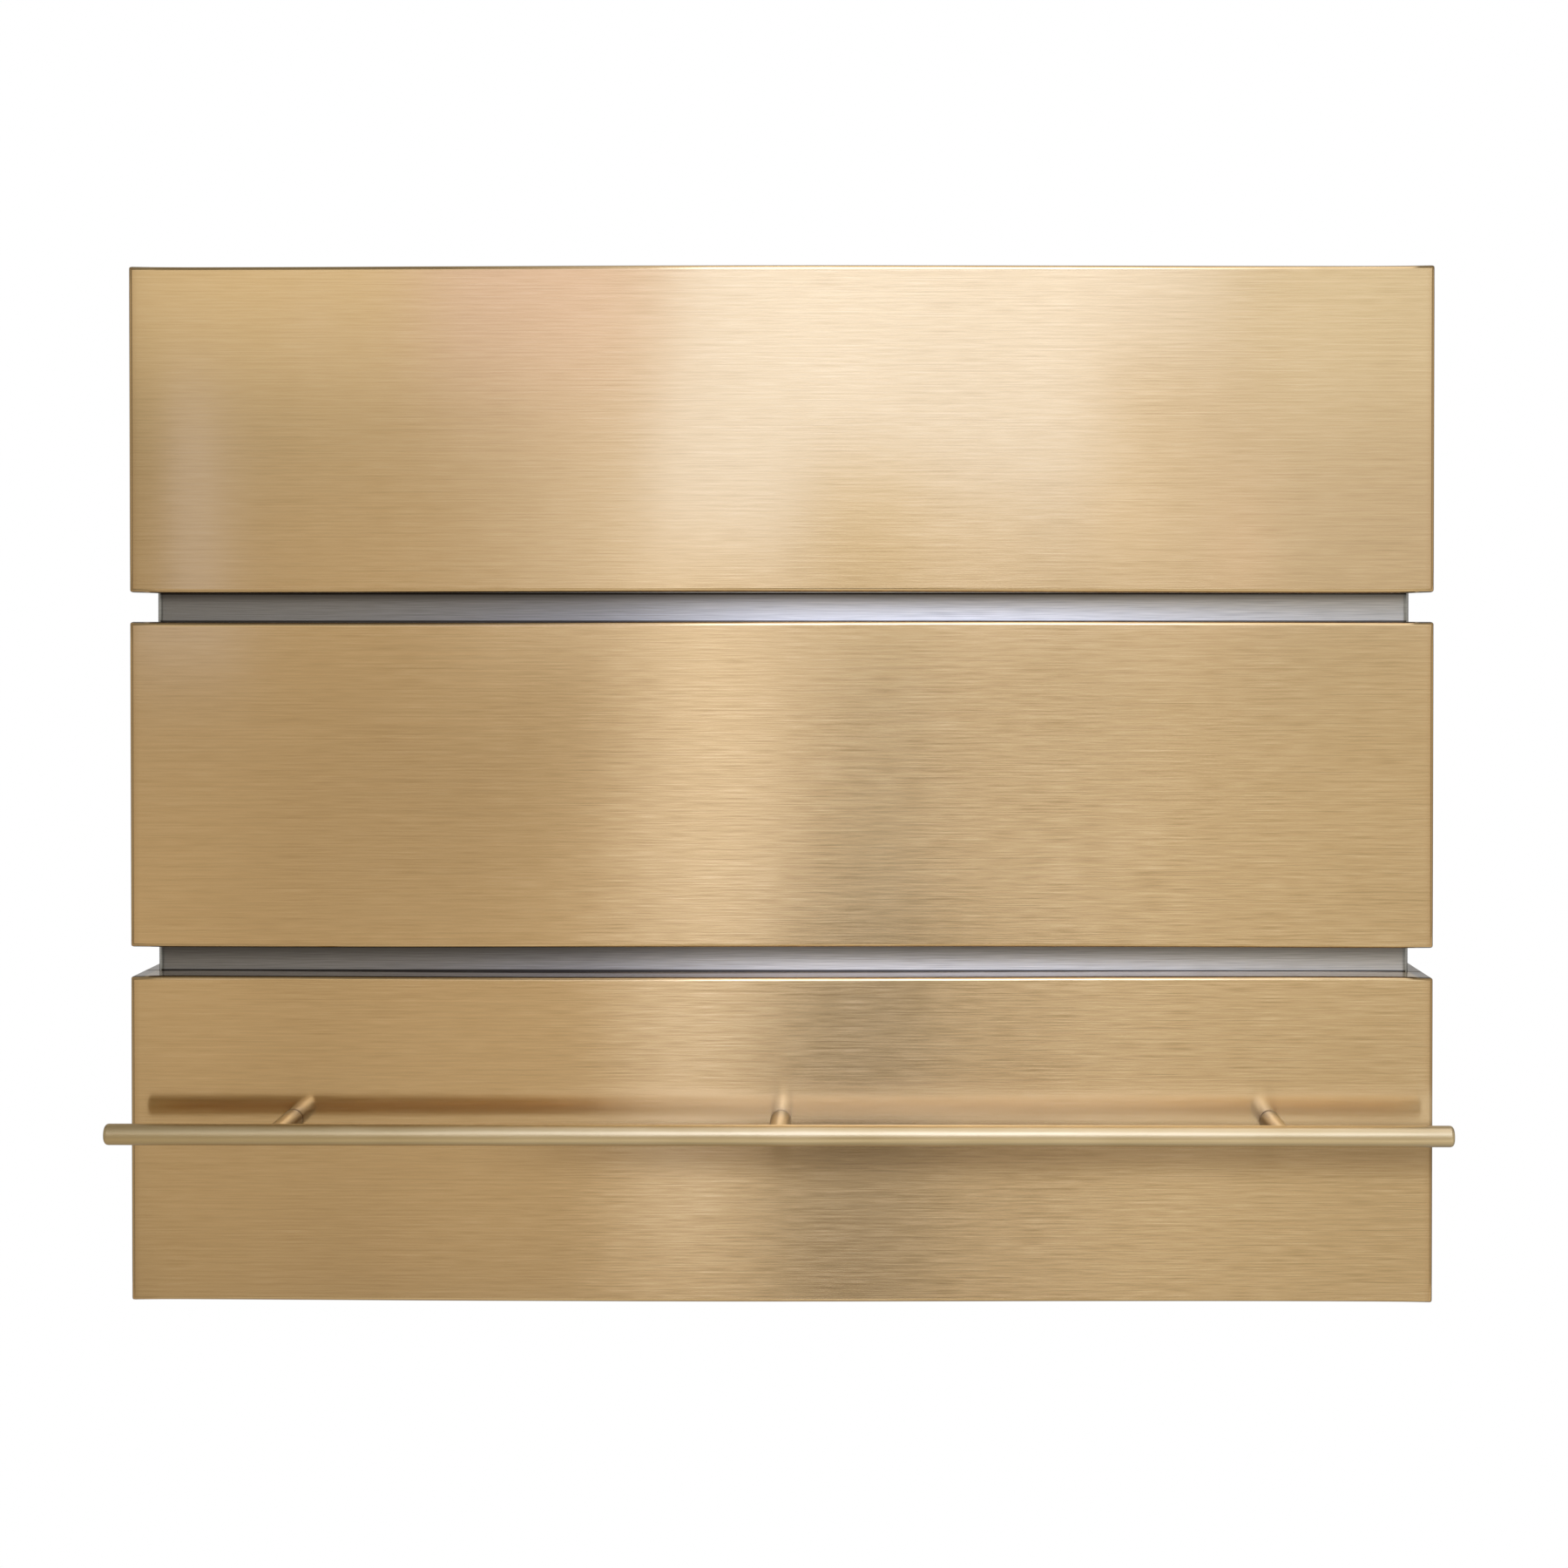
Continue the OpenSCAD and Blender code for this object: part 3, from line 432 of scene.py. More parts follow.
def rod_metal(name, dark, light, roughness, coat, painted_shade_colour):
    """Turned rod with a satin finish: faint marks round and along it, and painted shade at its left
    end, on its underside, at the posts' sides and at their feet on the door."""
    material, graph = new_material(name)
    x, y, z = graph.object_xyz()
    nx, _, nz = graph.normal_xyz()
    along, across = TURNING_MARKS
    lines = graph.noise(graph.vector(x * along, y * across, z * across))
    clouds = graph.noise(graph.coordinate("Object"), scale=45.0)
    # Painted shade: the rail darkens towards its left end.
    bright = graph.step(x, *BRIGHT_ROD_X) * (1.0 - ROD_END_TONE) + ROD_END_TONE
    tone = graph.clamp(graph.vary(0.5, (lines, 0.6), (clouds, 0.6))) * bright
    # Painted shade on the underside, at the posts' sides, at their feet and at their joint with the
    # door.
    outside = graph.step(y, *OUTSIDE_DOOR_Y)
    under = graph.step(nz, *UNDERSIDE_LEAN)
    side = graph.step(abs(nx), *SIDE_LEAN) * (graph.step(y, *BEHIND_RAIL_Y) * outside)
    foot, joint = graph.step(y, *POST_FOOT_Y), graph.step(y, *POST_JOINT_Y)
    shade = graph.larger((foot * FOOT_SHADE + joint * JOINT_SHADE) * outside,
                         graph.larger(under * UNDER_SHADE, side * SIDE_SHADE))
    colour = graph.colour_mix(shade, graph.colour_mix(tone, dark, light), painted_shade_colour)
    finish_material(graph, graph.principled(
        Base_Color=colour, Metallic=1.0, Roughness=graph.vary(roughness, (clouds, 0.08)),
        Coat_Weight=coat, Coat_Roughness=0.15, Normal=graph.bump(lines, 0.003 * MM)))
    return material


def plain_metal(name, dark, light, roughness):
    """Unpolished hardware metal with a fine grain and faint stains."""
    material, graph = new_material(name)
    place = graph.coordinate("Object")
    grain = graph.noise(place, scale=2600.0)
    stains = graph.noise(place, scale=120.0, detail=4.0, rough=0.6)
    tone = graph.clamp(graph.vary(0.5, (grain, 0.4), (stains, 0.8)))
    finish_material(graph, graph.principled(
        Base_Color=graph.colour_mix(tone, dark, light), Metallic=1.0,
        Roughness=graph.vary(roughness, (stains, 0.12)), Normal=graph.bump(grain, 0.004 * MM)))
    return material


def soft_black(name, dark, light, roughness):
    """Moulded rubber or coated magnet: a matt black skin with a fine pebble."""
    material, graph = new_material(name)
    place = graph.coordinate("Object")
    pebble = graph.noise(place, scale=1800.0)
    dust = graph.noise(place, scale=90.0, detail=4.0)
    tone = graph.clamp(graph.vary(0.4, (dust, 1.2)))
    finish_material(graph, graph.principled(
        Base_Color=graph.colour_mix(tone, dark, light),
        Roughness=graph.vary(roughness, (dust, 0.15)), Normal=graph.bump(pebble, 0.02 * MM)))
    return material


MATERIALS = {
    "brass": brushed_sheet(
        "brushed_brass_sheet", ((0.43, 0.275, 0.112), (0.670, 0.462, 0.218), (0.87, 0.64, 0.35)),
        polish=(0.115, 0.5), haze=(0.42, 0.9, 0.16), combed=(0.21, 0.96, 0.75), coat=0.4,
        # tint: colour of the painted shade at the band ends, darkened for the painted shadow below
        # the rail.
        mark_depth=0.0005 * MM, tint=(0.50, 0.29, 0.11)),
    "stainless": brushed_sheet(
        "brushed_stainless_sheet", ((0.44, 0.425, 0.385), (0.60, 0.585, 0.53), (0.74, 0.72, 0.66)),
        polish=(0.22, 0.8), haze=(0.37, 0.88, 0.86), coat=0.0, mark_depth=0.001 * MM,
        # Near-black colour of the painted shade in the core's reveals.
        painted_shade_colour=(0.012, 0.007, 0.004)),
    "solid_brass": rod_metal(
        "satin_brass_rod", (0.50, 0.36, 0.16), (0.86, 0.68, 0.40), roughness=0.40, coat=0.3,
        # Colour of the painted shade on the rail and its posts.
        painted_shade_colour=(0.10, 0.05, 0.02)),
    "plain_steel": plain_metal(
        "plain_steel_hardware", (0.42, 0.43, 0.44), (0.6, 0.61, 0.62), roughness=0.34),
    "rubber": soft_black(
        "matt_rubber", (0.02, 0.02, 0.022), (0.045, 0.045, 0.047), roughness=0.705),
    "magnet": soft_black(
        "coated_magnet", (0.03, 0.03, 0.034), (0.06, 0.06, 0.065), roughness=0.455),
}


# ---- Pieces ------------------------------------------------------------------------------

BODIES = frame["record"]["behaviour"]["bodies"]
BODY_OF = {node: body for body, nodes in BODIES.items() for node in nodes}
SLOT_OF = {row["node"]: row["material_slot"] for row in frame["record"]["subparts"]}


def dress(obj, slot):
    """Gives a mesh its slot's material."""
    obj.data.materials.clear()
    obj.data.materials.append(MATERIALS[slot])


def add_piece(name, mesh, body, slot, replaced):
    """Links a finished mesh as a piece that stands for CAD nodes."""
    obj = new_object(name, mesh)
    dress(obj, slot)
    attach(obj, body)
    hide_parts(*replaced)


WELD_GAP = 0.002 * MM
FLAT_WITHIN = math.radians(0.5)
BEND_SMOOTH = math.radians(32)  # faces that meet at less than this are shaded as one bend


def welded(node):
    """A bmesh of the CAD node with its loose triangles joined and its flat faces whole."""
    bm = bmesh.new()
    bm.from_mesh(frame["nodes"][node].data)
    bmesh.ops.remove_doubles(bm, verts=bm.verts, dist=WELD_GAP)
    bmesh.ops.dissolve_limit(bm, angle_limit=FLAT_WITHIN, verts=bm.verts, edges=bm.edges)
    return bm


def applied(obj):
    """Gives the mesh that an object's modifiers make, and removes the object."""
    depsgraph = bpy.context.evaluated_depsgraph_get()
    made = bpy.data.meshes.new_from_object(obj.evaluated_get(depsgraph), depsgraph=depsgraph,
                                           preserve_all_data_layers=True)
    bpy.data.objects.remove(obj)
    return made


def shaded(bm, name):
    """Turns a bmesh into a mesh with smooth bends and flat faces that stay flat."""
    bmesh.ops.triangulate(bm, faces=bm.faces)
    mesh = bpy.data.meshes.new(name)
    bm.to_mesh(mesh)
    bm.free()
    mesh.shade_smooth()
    mesh.set_sharp_from_angle(angle=BEND_SMOOTH)
    holder = new_object(name + "_raw", mesh)
    holder.modifiers.new("even_normals", "WEIGHTED_NORMAL").keep_sharp = True
    result = applied(holder)
    result.name = name
    return result


WAVE_GRID = 9 * MM
WAVE_FADE = 12 * MM  # the waves fade out this near a band's ends, which its folds hold straight
WAVE_OUT, WAVE_UP = 0.07 * MM, 0.22 * MM
# Each wave is (radians a metre along, radians a metre up, shift, size).
OUTWARD_WAVES = ((14, 0, 2.1, 1.0), (31, -9, 1.0, 0.6), (58, 22, 3.0, 0.35))
UPWARD_WAVES = ((16, 0, 4.0, 1.0),)


def cut_grid(bm, axis, start, end):
    """Cuts every face along planes a grid apart, so that the sheet can bend a little."""
    normal = Vector([1 if i == axis else 0 for i in range(3)])
    count = int((end - start) / WAVE_GRID)
    for i in range(1, count + 1):
        place = normal * (start + i * (end - start) / (count + 1))
        everything = list(bm.verts) + list(bm.edges) + list(bm.faces)
        bmesh.ops.bisect_plane(bm, geom=everything, plane_co=place, plane_no=normal,
                               dist=0.01 * MM)


def wave_height(waves, point, phase):
    return sum(size * math.sin(along * point.x + up * point.z + shift * phase)
               for along, up, shift, size in waves)


def sheet_wave(point, phase):
    """How far folded sheet lies off its true place: long shallow waves, out and up."""
    return Vector((0, WAVE_OUT * wave_height(OUTWARD_WAVES, point, phase),
                   WAVE_UP * wave_height(UPWARD_WAVES, point, phase)))


def band_piece(node, name, phase):
    """A folded brass band with its sheet's slight waviness."""
    bm = welded(node)
    lo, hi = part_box(node)
    cut_grid(bm, 0, lo.x, hi.x)
    cut_grid(bm, 2, lo.z, hi.z)
    for vert in bm.verts:
        fade = min(1.0, (HALF_W - abs(vert.co.x)) / WAVE_FADE)
        vert.co += sheet_wave(vert.co, phase) * fade
    add_piece(name, shaded(bm, name), BODY_OF[node], SLOT_OF[node], [node])


def smooth_piece(node, name):
    """The CAD node's own shape with smoothly shaded bends and rounds."""
    add_piece(name, shaded(welded(node), name), BODY_OF[node], SLOT_OF[node], [node])


# ---- Rivets and screws -------------------------------------------------------------------

RIVET = {"Head Radius": 2.7 * MM, "Shank Radius": 1.6 * MM,
         "Tail Radius": 2.2 * MM, "Tail Length": 1.6 * MM}
SCREW = {"Head Radius": 3.8 * MM, "Shank Radius": 2.0 * MM,
         "Socket Radius": 1.5 * MM, "Socket Depth": 1.15 * MM}
SPOT_SIZES = ("Head Height", "Length")
ROUND_FACETS, DOME_RINGS = 28, 14


def fastener_tree(name, sizes):
    """Geometry nodes that put one domed fastener on every point, with its head towards `aim`. It
    has a bulged tail or a six-sided socket, whichever `sizes` gives."""
    tree = bpy.data.node_groups.new(name, "GeometryNodeTree")
    graph = Graph(tree)
    tree.interface.new_socket("Geometry", in_out="INPUT", socket_type="NodeSocketGeometry")
    for size in (*sizes, *SPOT_SIZES):
        tree.interface.new_socket(size, in_out="INPUT", socket_type="NodeSocketFloat")
    tree.interface.new_socket("Metal", in_out="INPUT", socket_type="NodeSocketMaterial")
    tree.interface.new_socket("Geometry", in_out="OUTPUT", socket_type="NodeSocketGeometry")
    given = tree.nodes.new("NodeGroupInput").outputs
    size = {socket.name: Value(graph, socket) for socket in given if socket.name}

    def raised(mesh, height):
        return graph.node("GeometryNodeTransform", None,
                          {"Geometry": mesh, "Translation": graph.vector(0.0, 0.0, height)})

    def cylinder(sides, radius, length):
        return graph.node("GeometryNodeMeshCylinder", None,
                          {"Vertices": sides, "Radius": radius, "Depth": length})

    def combined(operation, inputs):
        return graph.node("GeometryNodeMeshBoolean",
                          {"operation": operation, "solver": "EXACT"}, inputs)

    # The head is a low dome, the cap of a ball whose centre lies sunk below the seat. A socket's
    # mouth is cut where the dome reaches the head's height.
    ball = graph.node("GeometryNodeMeshUVSphere", None,
                      {"Segments": ROUND_FACETS, "Rings": DOME_RINGS, "Radius": 1.0})
    x, y, z = graph.split(graph.node("GeometryNodeInputPosition"))
    wide, tall = size["Head Radius"], size["Head Height"]
    mouth = size.get("Socket Radius", 0.0)
    sunk = (wide * wide - tall * tall - mouth * mouth) / (tall * 2.0)
    inward = (1.0 - graph.math("MINIMUM", x * x + y * y, 1.0)) * wide * wide
    rise = graph.math("SQRT", sunk * sunk + inward) - sunk
    head = graph.node("GeometryNodeSetPosition", None, {
        "Geometry": ball, "Position": graph.vector(x * wide, y * wide, rise * z.above(0.001))})

    in_head = tall * 0.4
    shank_length = size["Length"] + in_head
    shank = cylinder(ROUND_FACETS, size["Shank Radius"], shank_length)
    parts = [head, raised(shank, in_head - shank_length * 0.5)]
    if "Tail Radius" in sizes:
        tail = graph.node("GeometryNodeMeshCone", None, {
            "Vertices": ROUND_FACETS, "Depth": size["Tail Length"],
            "Radius Top": size["Tail Radius"], "Radius Bottom": size["Shank Radius"]})
        parts.append(raised(tail, 0.0 - size["Length"] - size["Tail Length"]))
    solid = combined("UNION", {1: parts})
    if "Socket Radius" in sizes:
        key = raised(cylinder(6, size["Socket Radius"], size["Socket Depth"] * 2.0), tall)
        solid = combined("DIFFERENCE", {0: solid, 1: [key]})

    aim = graph.node("GeometryNodeInputNamedAttribute", {"data_type": "FLOAT_VECTOR"},
                     {"Name": "aim"})
    turn = graph.node("FunctionNodeAlignRotationToVector", {"axis": "Z"}, {"Vector": aim})
    spots = graph.node("GeometryNodeInstanceOnPoints", None, {
        "Points": Value(graph, given["Geometry"]), "Instance": solid, "Rotation": turn})
    real = graph.node("GeometryNodeRealizeInstances", None, {"Geometry": spots})
    dressed = graph.node("GeometryNodeSetMaterial", None,
                         {"Geometry": real, "Material": size["Metal"]})
    graph.node("NodeGroupOutput", None, {"Geometry": dressed})
    return tree


def solids_of(bm):
    """The separate solids of a mesh, each as a list of its vertices."""
    seen = set()
    for start in bm.verts:
        found = [] if start in seen else [start]
        seen.update(found)
        for vert in found:
            near = [edge.other_vert(vert) for edge in vert.link_edges]
            fresh = [other for other in near if other not in seen]
            seen.update(fresh)
            found.extend(fresh)
        if found:
            yield found


def fastener_spots(node):
    """{(head height, length): [(seat, aim)]} of a node's rivets or screws. Each is round about the
    axis on which it is least even, and its widest ring is where its head sits."""
    bm = welded(node)
    spots = {}
    for solid in solids_of(bm):
        lo, hi = (Vector([pick(v.co[i] for v in solid) for i in range(3)]) for pick in (min, max))
        middle = (lo + hi) / 2
        lean = sum((v.co - middle for v in solid), Vector())
        axis = max(range(3), key=lambda i: abs(lean[i]))
        along = Vector([float(i == axis) for i in range(3)])
        off = [v.co - middle for v in solid]
        widest = max(off, key=lambda arm: (arm - along * arm.dot(along)).length)
        seat = middle + along * widest.dot(along)
        side = 1 if seat[axis] > middle[axis] else -1
        tip, end = (hi[axis], lo[axis]) if side > 0 else (lo[axis], hi[axis])
        sizes = (round(abs(tip - seat[axis]), 5), round(abs(seat[axis] - end), 5))
        spots.setdefault(sizes, []).append((seat, along * side))
    bm.free()
    return spots


def fasteners(node, tree, sizes):
    """One body's rivets or screws of one CAD node, as a single piece."""
    bm = bmesh.new()
    for (tall, long), spots in sorted(fastener_spots(node).items()):
        spots.sort(key=lambda spot: tuple(spot[0]))
        mesh = bpy.data.meshes.new(node + "_spots")
        mesh.from_pydata([seat for seat, _ in spots], [], [])
        aims = mesh.attributes.new("aim", "FLOAT_VECTOR", "POINT").data
        aims.foreach_set("vector", [part for _, aim in spots for part in aim])
        holder = new_object(node + "_spots", mesh)
        modifier = holder.modifiers.new("fasteners", "NODES")
        modifier.node_group = tree
        values = {**sizes, "Head Height": tall, "Length": long - sizes.get("Tail Length", 0.0),
                  "Metal": MATERIALS[SLOT_OF[node]]}
        for item in tree.interface.items_tree:
            if item.in_out == "INPUT" and item.name in values:
                modifier[item.identifier] = values[item.name]
        bm.from_mesh(applied(holder))
    bmesh.ops.remove_doubles(bm, verts=bm.verts, dist=0.0005 * MM)
    add_piece(node + "_set", shaded(bm, node), BODY_OF[node], SLOT_OF[node], [node])


def make_fasteners():
    """Every rivet and screw. Rivets that are set flush at the back have no tail."""
    tailless = {key: size for key, size in RIVET.items() if not key.startswith("Tail")}
    for sizes, nodes in (
            (RIVET, ("core_rivets", "stay_rivets",
                     "lid_hinge_body_rivets", "door_hinge_body_rivets")),
            (tailless, ("catch_rivets", "lid_hinge_lid_rivets", "door_hinge_door_rivets")),
            (SCREW, ("cladding_screws", "rail_screws"))):
        tree = fastener_tree("fastener_of_" + nodes[0], sizes)
        for node in nodes:
            fasteners(node, tree, sizes)


# ---- Rail --------------------------------------------------------------------------------

TURNED_FACETS = 64
RAIL_END_ROUND = 1.1 * MM
POST_FOOT_BREAK = 0.45 * MM


def turned_mesh(name, profile, placement):
    """A solid of revolution from (distance along the x axis, radius) pairs, closed at both ends,
    and then put in its place."""
    bm = bmesh.new()
    angles = [math.tau * k / TURNED_FACETS for k in range(TURNED_FACETS)]
    rings = []
    for along, radius in profile:
        spokes = [(radius * math.cos(a), radius * math.sin(a)) for a in angles]
        ring = spokes if radius else [(0, 0)]
        rings.append([bm.verts.new((along, *spoke)) for spoke in ring])
    for low, high in zip(rings, rings[1:]):
        for k in range(TURNED_FACETS):
            corners = [low[k % len(low)], low[(k + 1) % len(low)],
                       high[(k + 1) % len(high)], high[k % len(high)]]
            bm.faces.new(list(dict.fromkeys(corners)))
    bm.transform(placement)
    bmesh.ops.recalc_face_normals(bm, faces=bm.faces)
    return shaded(bm, name)


def make_rail():
    """The pull rail with its softly broken ends, and the three posts that carry it."""
    lo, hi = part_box("rail")
    radius = (hi.z - lo.z) / 2
    centre = (lo + hi) / 2
    reach = (hi.x - lo.x) / 2
    end = [(reach - RAIL_END_ROUND * (1 - math.sin(a)), radius - RAIL_END_ROUND * (1 - math.cos(a)))
           for a in (math.radians(turn) for turn in (0, 22, 45, 68, 90))]
    profile = [(-x, r) for x, r in [(reach, 0)] + end[::-1]] + end + [(reach, 0)]
    add_piece("pull_rail", turned_mesh("pull_rail", profile, Matrix.Translation(centre)),
              BODY_OF["rail"], SLOT_OF["rail"], ["rail"])
    for node in ("post_left", "post_centre", "post_right"):
        post_lo, post_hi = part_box(node)
        wide = (post_hi.x - post_lo.x) / 2
        foot, head = post_hi.y, centre.y
        profile = [(head, 0), (head, wide), (foot - POST_FOOT_BREAK, wide),
                   (foot, wide - POST_FOOT_BREAK), (foot, 0)]
        place = Matrix.Translation(((post_lo.x + post_hi.x) / 2, 0, centre.z))
        mesh = turned_mesh(node, profile, place @ Matrix.Rotation(math.pi / 2, 4, "Z"))
        add_piece(node + "_turned", mesh, BODY_OF[node], SLOT_OF[node], [node])


# ---- All pieces --------------------------------------------------------------------------

# Sheet and rod parts whose CAD shape is right and only needs its bends shaded smoothly.
SMOOTHED = ("core_shell", "lower_side_left", "lower_side_right",
            "lid_hinge_body_leaf", "lid_hinge_lid_leaf", "lid_hinge_pin",
            "door_hinge_body_leaf", "door_hinge_door_leaf", "door_hinge_pin",
            "lid_bumpers", "stay_left", "stay_right", "rail_spacers")


def make_pieces():
    """The detailed pieces, and a material for every CAD node."""
    make_rail()
    band_piece("lid_shell", "lid_band", phase=0.4)
    band_piece("middle_band", "middle_band_sheet", phase=1.7)
    band_piece("door_shell", "door_band", phase=2.9)
    for node in SMOOTHED:
        smooth_piece(node, node + "_smooth")
    make_fasteners()
    for node, obj in frame["nodes"].items():
        dress(obj, SLOT_OF[node])


# ---- Studio ------------------------------------------------------------------------------

# The room of soft light that the metal mirrors.
ROOM_REACH = 2.0
ROOM_HALF = 2.4
FLOOR_Z = -1.2
ROOM_TOP = 1.9
FLOOR_HALF = 12.0
LOW_PANEL_LIFT = 0.02
WARM_TOP = 0.2  # the front wall's light is warmer below this height
DRIFT = 0.24  # how much the light wanders over a wall
WORLD_LEVEL = 0.75
NEUTRAL = (1.0, 0.99, 0.97)
WARM = (1.04, 0.955, 0.86)
DAYLIGHT = (1.0, 1.18, 1.78)
PALE_DAY = (1.0, 1.03, 1.18)

# Light level of the front wall from the floor up: (height, level).
FRONT_LEVELS = [(-1.2, 0.46), (-0.72, 0.47), (-0.6, 0.58), (-0.35, 0.69), (-0.1, 0.58),
                (0.15, 0.64), (0.25, 0.58), (0.33, 1.00), (0.42, 1.14), (0.80, 0.95),
                (1.1, 0.28), (1.9, 0.20)]

# Soft boxes and flags in front of it, each over the ones before:
# (left, right, low, high, softness across, softness up, level, tint)
FRONT_BOXES = [
    # dim ends of the wall
    (-3.0, -0.85, -1.3, 2.0, 0.12, 0.10, 0.30, NEUTRAL),
    (1.1, 3.0, -1.3, 2.0, 0.20, 0.10, 0.45, NEUTRAL),
    # glow round the large box, and below it on the right
    (-0.36, 0.52, 0.02, 1.7, 0.12, 0.07, 0.95, PALE_DAY),
    (0.12, 0.95, -0.90, 0.12, 0.07, 0.05, 0.72, (1.02, 0.99, 0.95)),
    (0.41, 0.60, -0.06, 0.12, 0.05, 0.05, 0.60, NEUTRAL),
    # the large box, with its crisp left edge and a longer left foot
    (-0.19, 0.40, 0.19, 0.60, 0.022, 0.020, 1.36, DAYLIGHT),
    (-0.19, 0.40, 0.15, 0.30, 0.022, 0.050, 1.30, DAYLIGHT),
    (-0.19, 0.60, 0.64, 1.90, 0.022, 0.10, 4.00, DAYLIGHT),
    (-0.19, -0.05, 0.11, 0.24, 0.022, 0.05, 1.38, DAYLIGHT),
    (0.40, 0.95, 0.10, 1.90, 0.14, 0.08, 1.08, (1.0, 1.09, 1.26)),
    (0.25, 0.42, 0.05, 0.33, 0.04, 0.05, 1.00, PALE_DAY),
    (0.36, 0.95, 0.05, 0.27, 0.05, 0.05, 0.80, PALE_DAY),
    # things that stand on its sill
    (-0.03, 0.10, 0.02, 0.205, 0.03, 0.022, 1.02, NEUTRAL),
    (0.09, 0.20, 0.02, 0.18, 0.03, 0.03, 1.10, PALE_DAY),
    (0.245, 0.29, 0.115, 0.185, 0.02, 0.02, 1.35, PALE_DAY),
    (0.38, 0.43, 0.08, 0.17, 0.03, 0.03, 1.10, (1.05, 1.0, 1.2)),
    # upright light, wider above and narrower below, with a flag beside it
    (-0.22, -0.06, -0.30, 0.12, 0.06, 0.05, 1.14, PALE_DAY),
    (-0.22, -0.13, -0.62, -0.28, 0.055, 0.06, 1.12, PALE_DAY),
    (-0.01, 0.075, -0.30, 0.05, 0.05, 0.06, 0.50, NEUTRAL),
    (0.12, 0.24, -0.85, -0.30, 0.05, 0.05, 0.50, WARM),
    (-0.07, 0.10, -0.85, -0.25, 0.05, 0.04, 0.16, WARM),
    # pale frame at the far left, and a small bright patch
    (-0.71, -0.635, 0.00, 0.30, 0.012, 0.05, 0.86, (1.0, 1.06, 1.42)),
    (-0.565, -0.535, 0.325, 0.385, 0.015, 0.02, 1.15, (1.0, 1.05, 1.3)),
    (-0.44, -0.20, 0.30, 0.60, 0.06, 0.06, 1.15, (1.04, 1.0, 1.35)),
]

# The other walls stay plain: pale where a side or the back would mirror them, dim behind.
SIDE_LEVELS = [(-1.2, 0.45), (0.0, 0.70), (1.9, 0.80)]
SIDE_BOXES = [(0.45, 3.0, -1.3, 2.0, 0.20, 0.10, 0.10, NEUTRAL),
              (-3.0, -1.1, -1.3, 2.0, 0.3, 0.1, 0.50, NEUTRAL)]
BACK_LEVELS = [(-1.2, 0.50), (0.8, 0.50), (1.2, 0.55), (1.9, 0.60)]
BACK_BOXES = [(-0.36, 0.36, -1.3, 2.0, 0.10, 0.1, 0.55, NEUTRAL)]
CEILING_LEVELS = [(-2.2, 0.30), (-0.6, 0.25), (0.2, 0.24), (0.9, 0.35), (2.0, 0.40)]
CEILING_BOXES = [(-0.25, 0.95, -2.3, 0.15, 0.20, 0.15, 1.45, PALE_DAY)]
LOW_LEVELS = [(-2.2, 0.95), (-1.1, 0.95), (-0.65, 0.70), (-0.25, 0.50), (0.2, 0.35), (2.0, 0.45)]
LOW_BOXES = [(-3.0, -0.45, -2.3, 2.1, 0.3, 0.1, 0.50, WARM)]


def soft_span(graph, value, start, end, soft):
    """1 from start to end and 0 outside, with soft edges."""
    return (graph.step(value, start - soft, start + soft)
            * (1.0 - graph.step(value, end - soft, end + soft)))


def shade_of(level, tint):
    return tuple(level * part for part in tint)


def wall_light(name, across, up, levels, boxes=(), low_tint=NEUTRAL):
    """Glow of one wall of the room: a level that changes along `up`, with soft boxes on it."""
    material, graph = new_material(name)
    place = graph.object_xyz()
    u, v = place[across], place[up]
    first, last = levels[0][0], levels[-1][0]
    stops = []
    for at, level in levels:
        tint = low_tint if at < WARM_TOP else NEUTRAL
        stops.append(((at - first) / (last - first), shade_of(level, tint)))
    light = graph.node("ShaderNodeValToRGB", {"stops": stops}, {0: (v - first) / (last - first)})
    for left, right, low, high, soft_u, soft_v, level, tint in boxes:
        mask = soft_span(graph, u, left, right, soft_u) * soft_span(graph, v, low, high, soft_v)
        light = graph.colour_mix(mask, light, shade_of(level, tint))
    cloud = graph.step(graph.noise(graph.coordinate("Object"), scale=2.3), 0.2, 0.8)
    light = graph.node("ShaderNodeVectorMath", {"operation": "SCALE"},
                       {"Vector": light, "Scale": graph.vary(1.0, (cloud, DRIFT))})
    glow = graph.node("ShaderNodeEmission", None, {"Color": light, "Strength": 1.0})
    finish_material(graph, glow)
    return material


def room_panel(name, corners, material):
    """A flat stage panel that only the metal mirrors."""
    mesh = bpy.data.meshes.new(name)
    mesh.from_pydata(corners, [], [(0, 1, 2, 3)])
    mesh.materials.append(material)
    obj = new_object(name, mesh)
    obj.visible_camera = False
    obj.visible_shadow = False
    obj.visible_diffuse = False


def make_room():
    """Four walls, a ceiling and a low panel round the box."""
    low, high, side = FLOOR_Z, ROOM_TOP, ROOM_HALF
    front, back = FRONT_Y - ROOM_REACH, ROOM_REACH
    for name, y, levels, boxes, low_tint in (
            ("front_wall", front, FRONT_LEVELS, FRONT_BOXES, WARM),
            ("back_wall", back, BACK_LEVELS, BACK_BOXES, NEUTRAL)):
        room_panel(name, [(-side, y, low), (side, y, low), (side, y, high), (-side, y, high)],
                   wall_light(name + "_light", 0, 2, levels, boxes, low_tint))
    side_light = wall_light("side_wall_light", 1, 2, SIDE_LEVELS, SIDE_BOXES)
    for name, x in (("left_wall", -side), ("right_wall", side)):
        room_panel(name, [(x, front, low), (x, back, low), (x, back, high), (x, front, high)],
                   side_light)
    for name, z, levels, boxes in (
            ("ceiling", high, CEILING_LEVELS, CEILING_BOXES),
            ("low_panel", low + LOW_PANEL_LIFT, LOW_LEVELS, LOW_BOXES)):
        room_panel(name, [(-side, front, z), (side, front, z), (side, back, z), (-side, back, z)],
                   wall_light(name + "_light", 0, 1, levels, boxes))


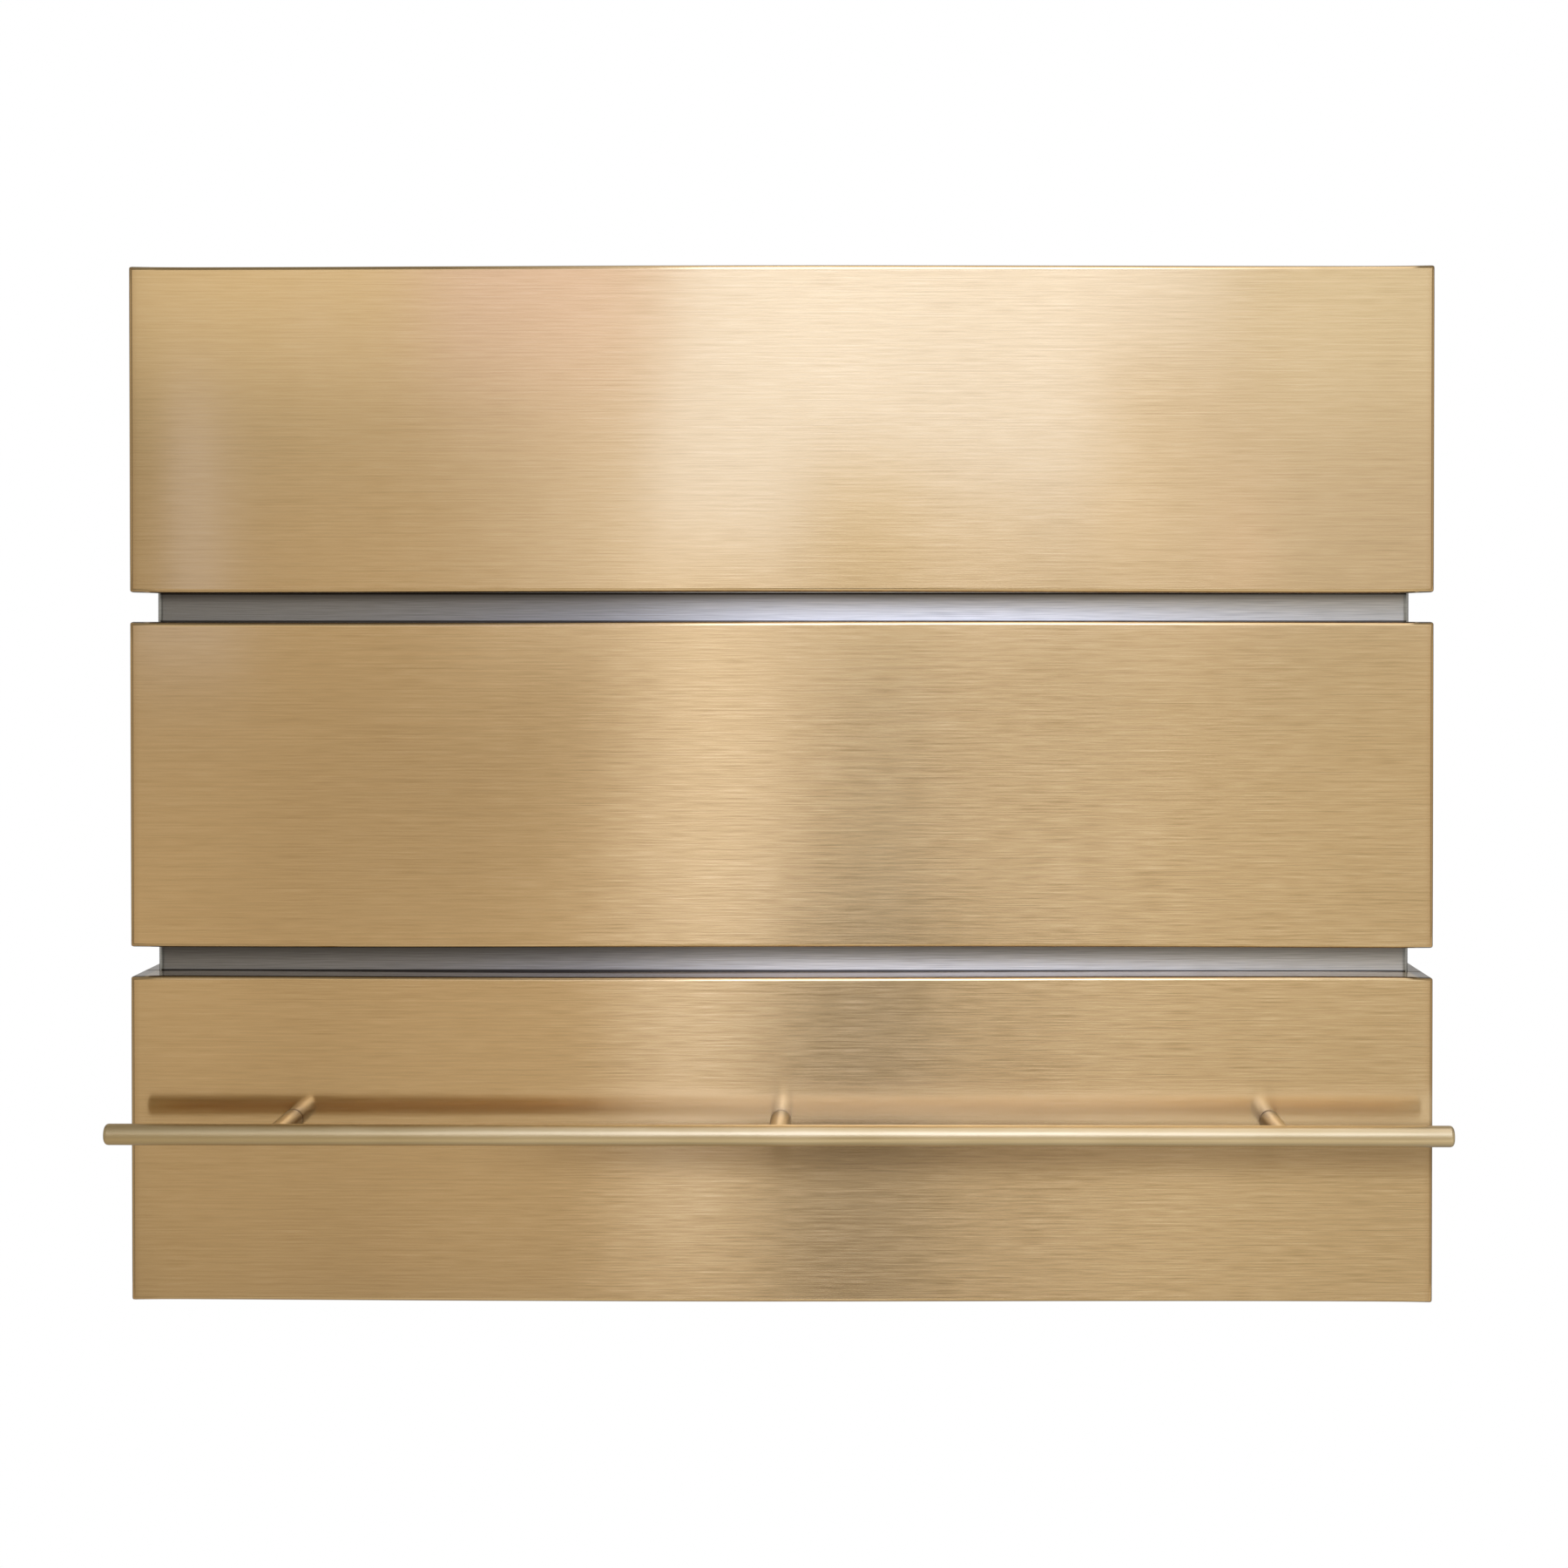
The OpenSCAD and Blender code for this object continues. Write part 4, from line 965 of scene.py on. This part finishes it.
def seen_directly(graph):
    """1 for rays from the camera, and for those that metal or glass passes on."""
    path = graph.node("ShaderNodeLightPath").socket.node
    seen = Value(graph, path.outputs["Is Camera Ray"])
    for name in ("Is Glossy Ray", "Is Transmission Ray"):
        seen = graph.larger(seen, Value(graph, path.outputs[name]))
    return seen


def make_floor():
    """A plain pale floor that the camera and the metal see as white."""
    mesh = bpy.data.meshes.new("floor")
    corners = [(FLOOR_HALF * x, FLOOR_HALF * y, FLOOR_Z)
               for x, y in ((-1, -1), (1, -1), (1, 1), (-1, 1))]
    mesh.from_pydata(corners, [], [(0, 1, 2, 3)])
    material, graph = new_material("pale_floor")
    paper = graph.noise(graph.coordinate("Object"), scale=40.0, detail=3.0)
    colour = graph.colour_mix(paper, (0.90, 0.90, 0.90), (0.94, 0.94, 0.94))
    matt = graph.principled(Base_Color=colour, Roughness=0.9)
    glow = graph.node("ShaderNodeEmission", None, {"Color": (1, 1, 1, 1), "Strength": 1.0})
    finish_material(graph, graph.blend_shaders(seen_directly(graph), matt, glow))
    mesh.materials.append(material)
    obj = new_object("floor", mesh)


def make_world():
    """An even pale world that the camera and the metal see as white."""
    world = bpy.data.worlds.new("studio")
    world.use_nodes = True
    graph = Graph(world.node_tree)
    strength = graph.mix(seen_directly(graph), WORLD_LEVEL, 1.0)
    light = graph.node("ShaderNodeBackground", None, {"Color": (1, 1, 1, 1), "Strength": strength})
    graph.node("ShaderNodeOutputWorld", None, {"Surface": light})
    scene.world = world


def area_light(name, place, aim, size, power):
    """A rectangular lamp, in watts, that the camera and the metal don't see."""
    data = bpy.data.lights.new(name, "AREA")
    data.shape = "RECTANGLE"
    data.size, data.size_y = size
    data.energy = power
    lamp = new_object(name, data)
    lamp.location = place
    lamp.rotation_euler = (Vector(aim) - Vector(place)).to_track_quat("-Z", "Y").to_euler()
    lamp.visible_camera = False
    lamp.visible_glossy = False


def make_lamps():
    area_light("top_softbox", place=(-0.3, -0.9, 1.7), aim=(0, -0.07, 0),
               size=(1.6, 0.9), power=9.0)
    area_light("rear_softbox", place=(0.8, 1.3, 1.2), aim=(0, 0, 0),
               size=(1.0, 1.0), power=5.0)


make_camera()
make_pieces()
make_world()
make_room()
make_floor()
make_lamps()
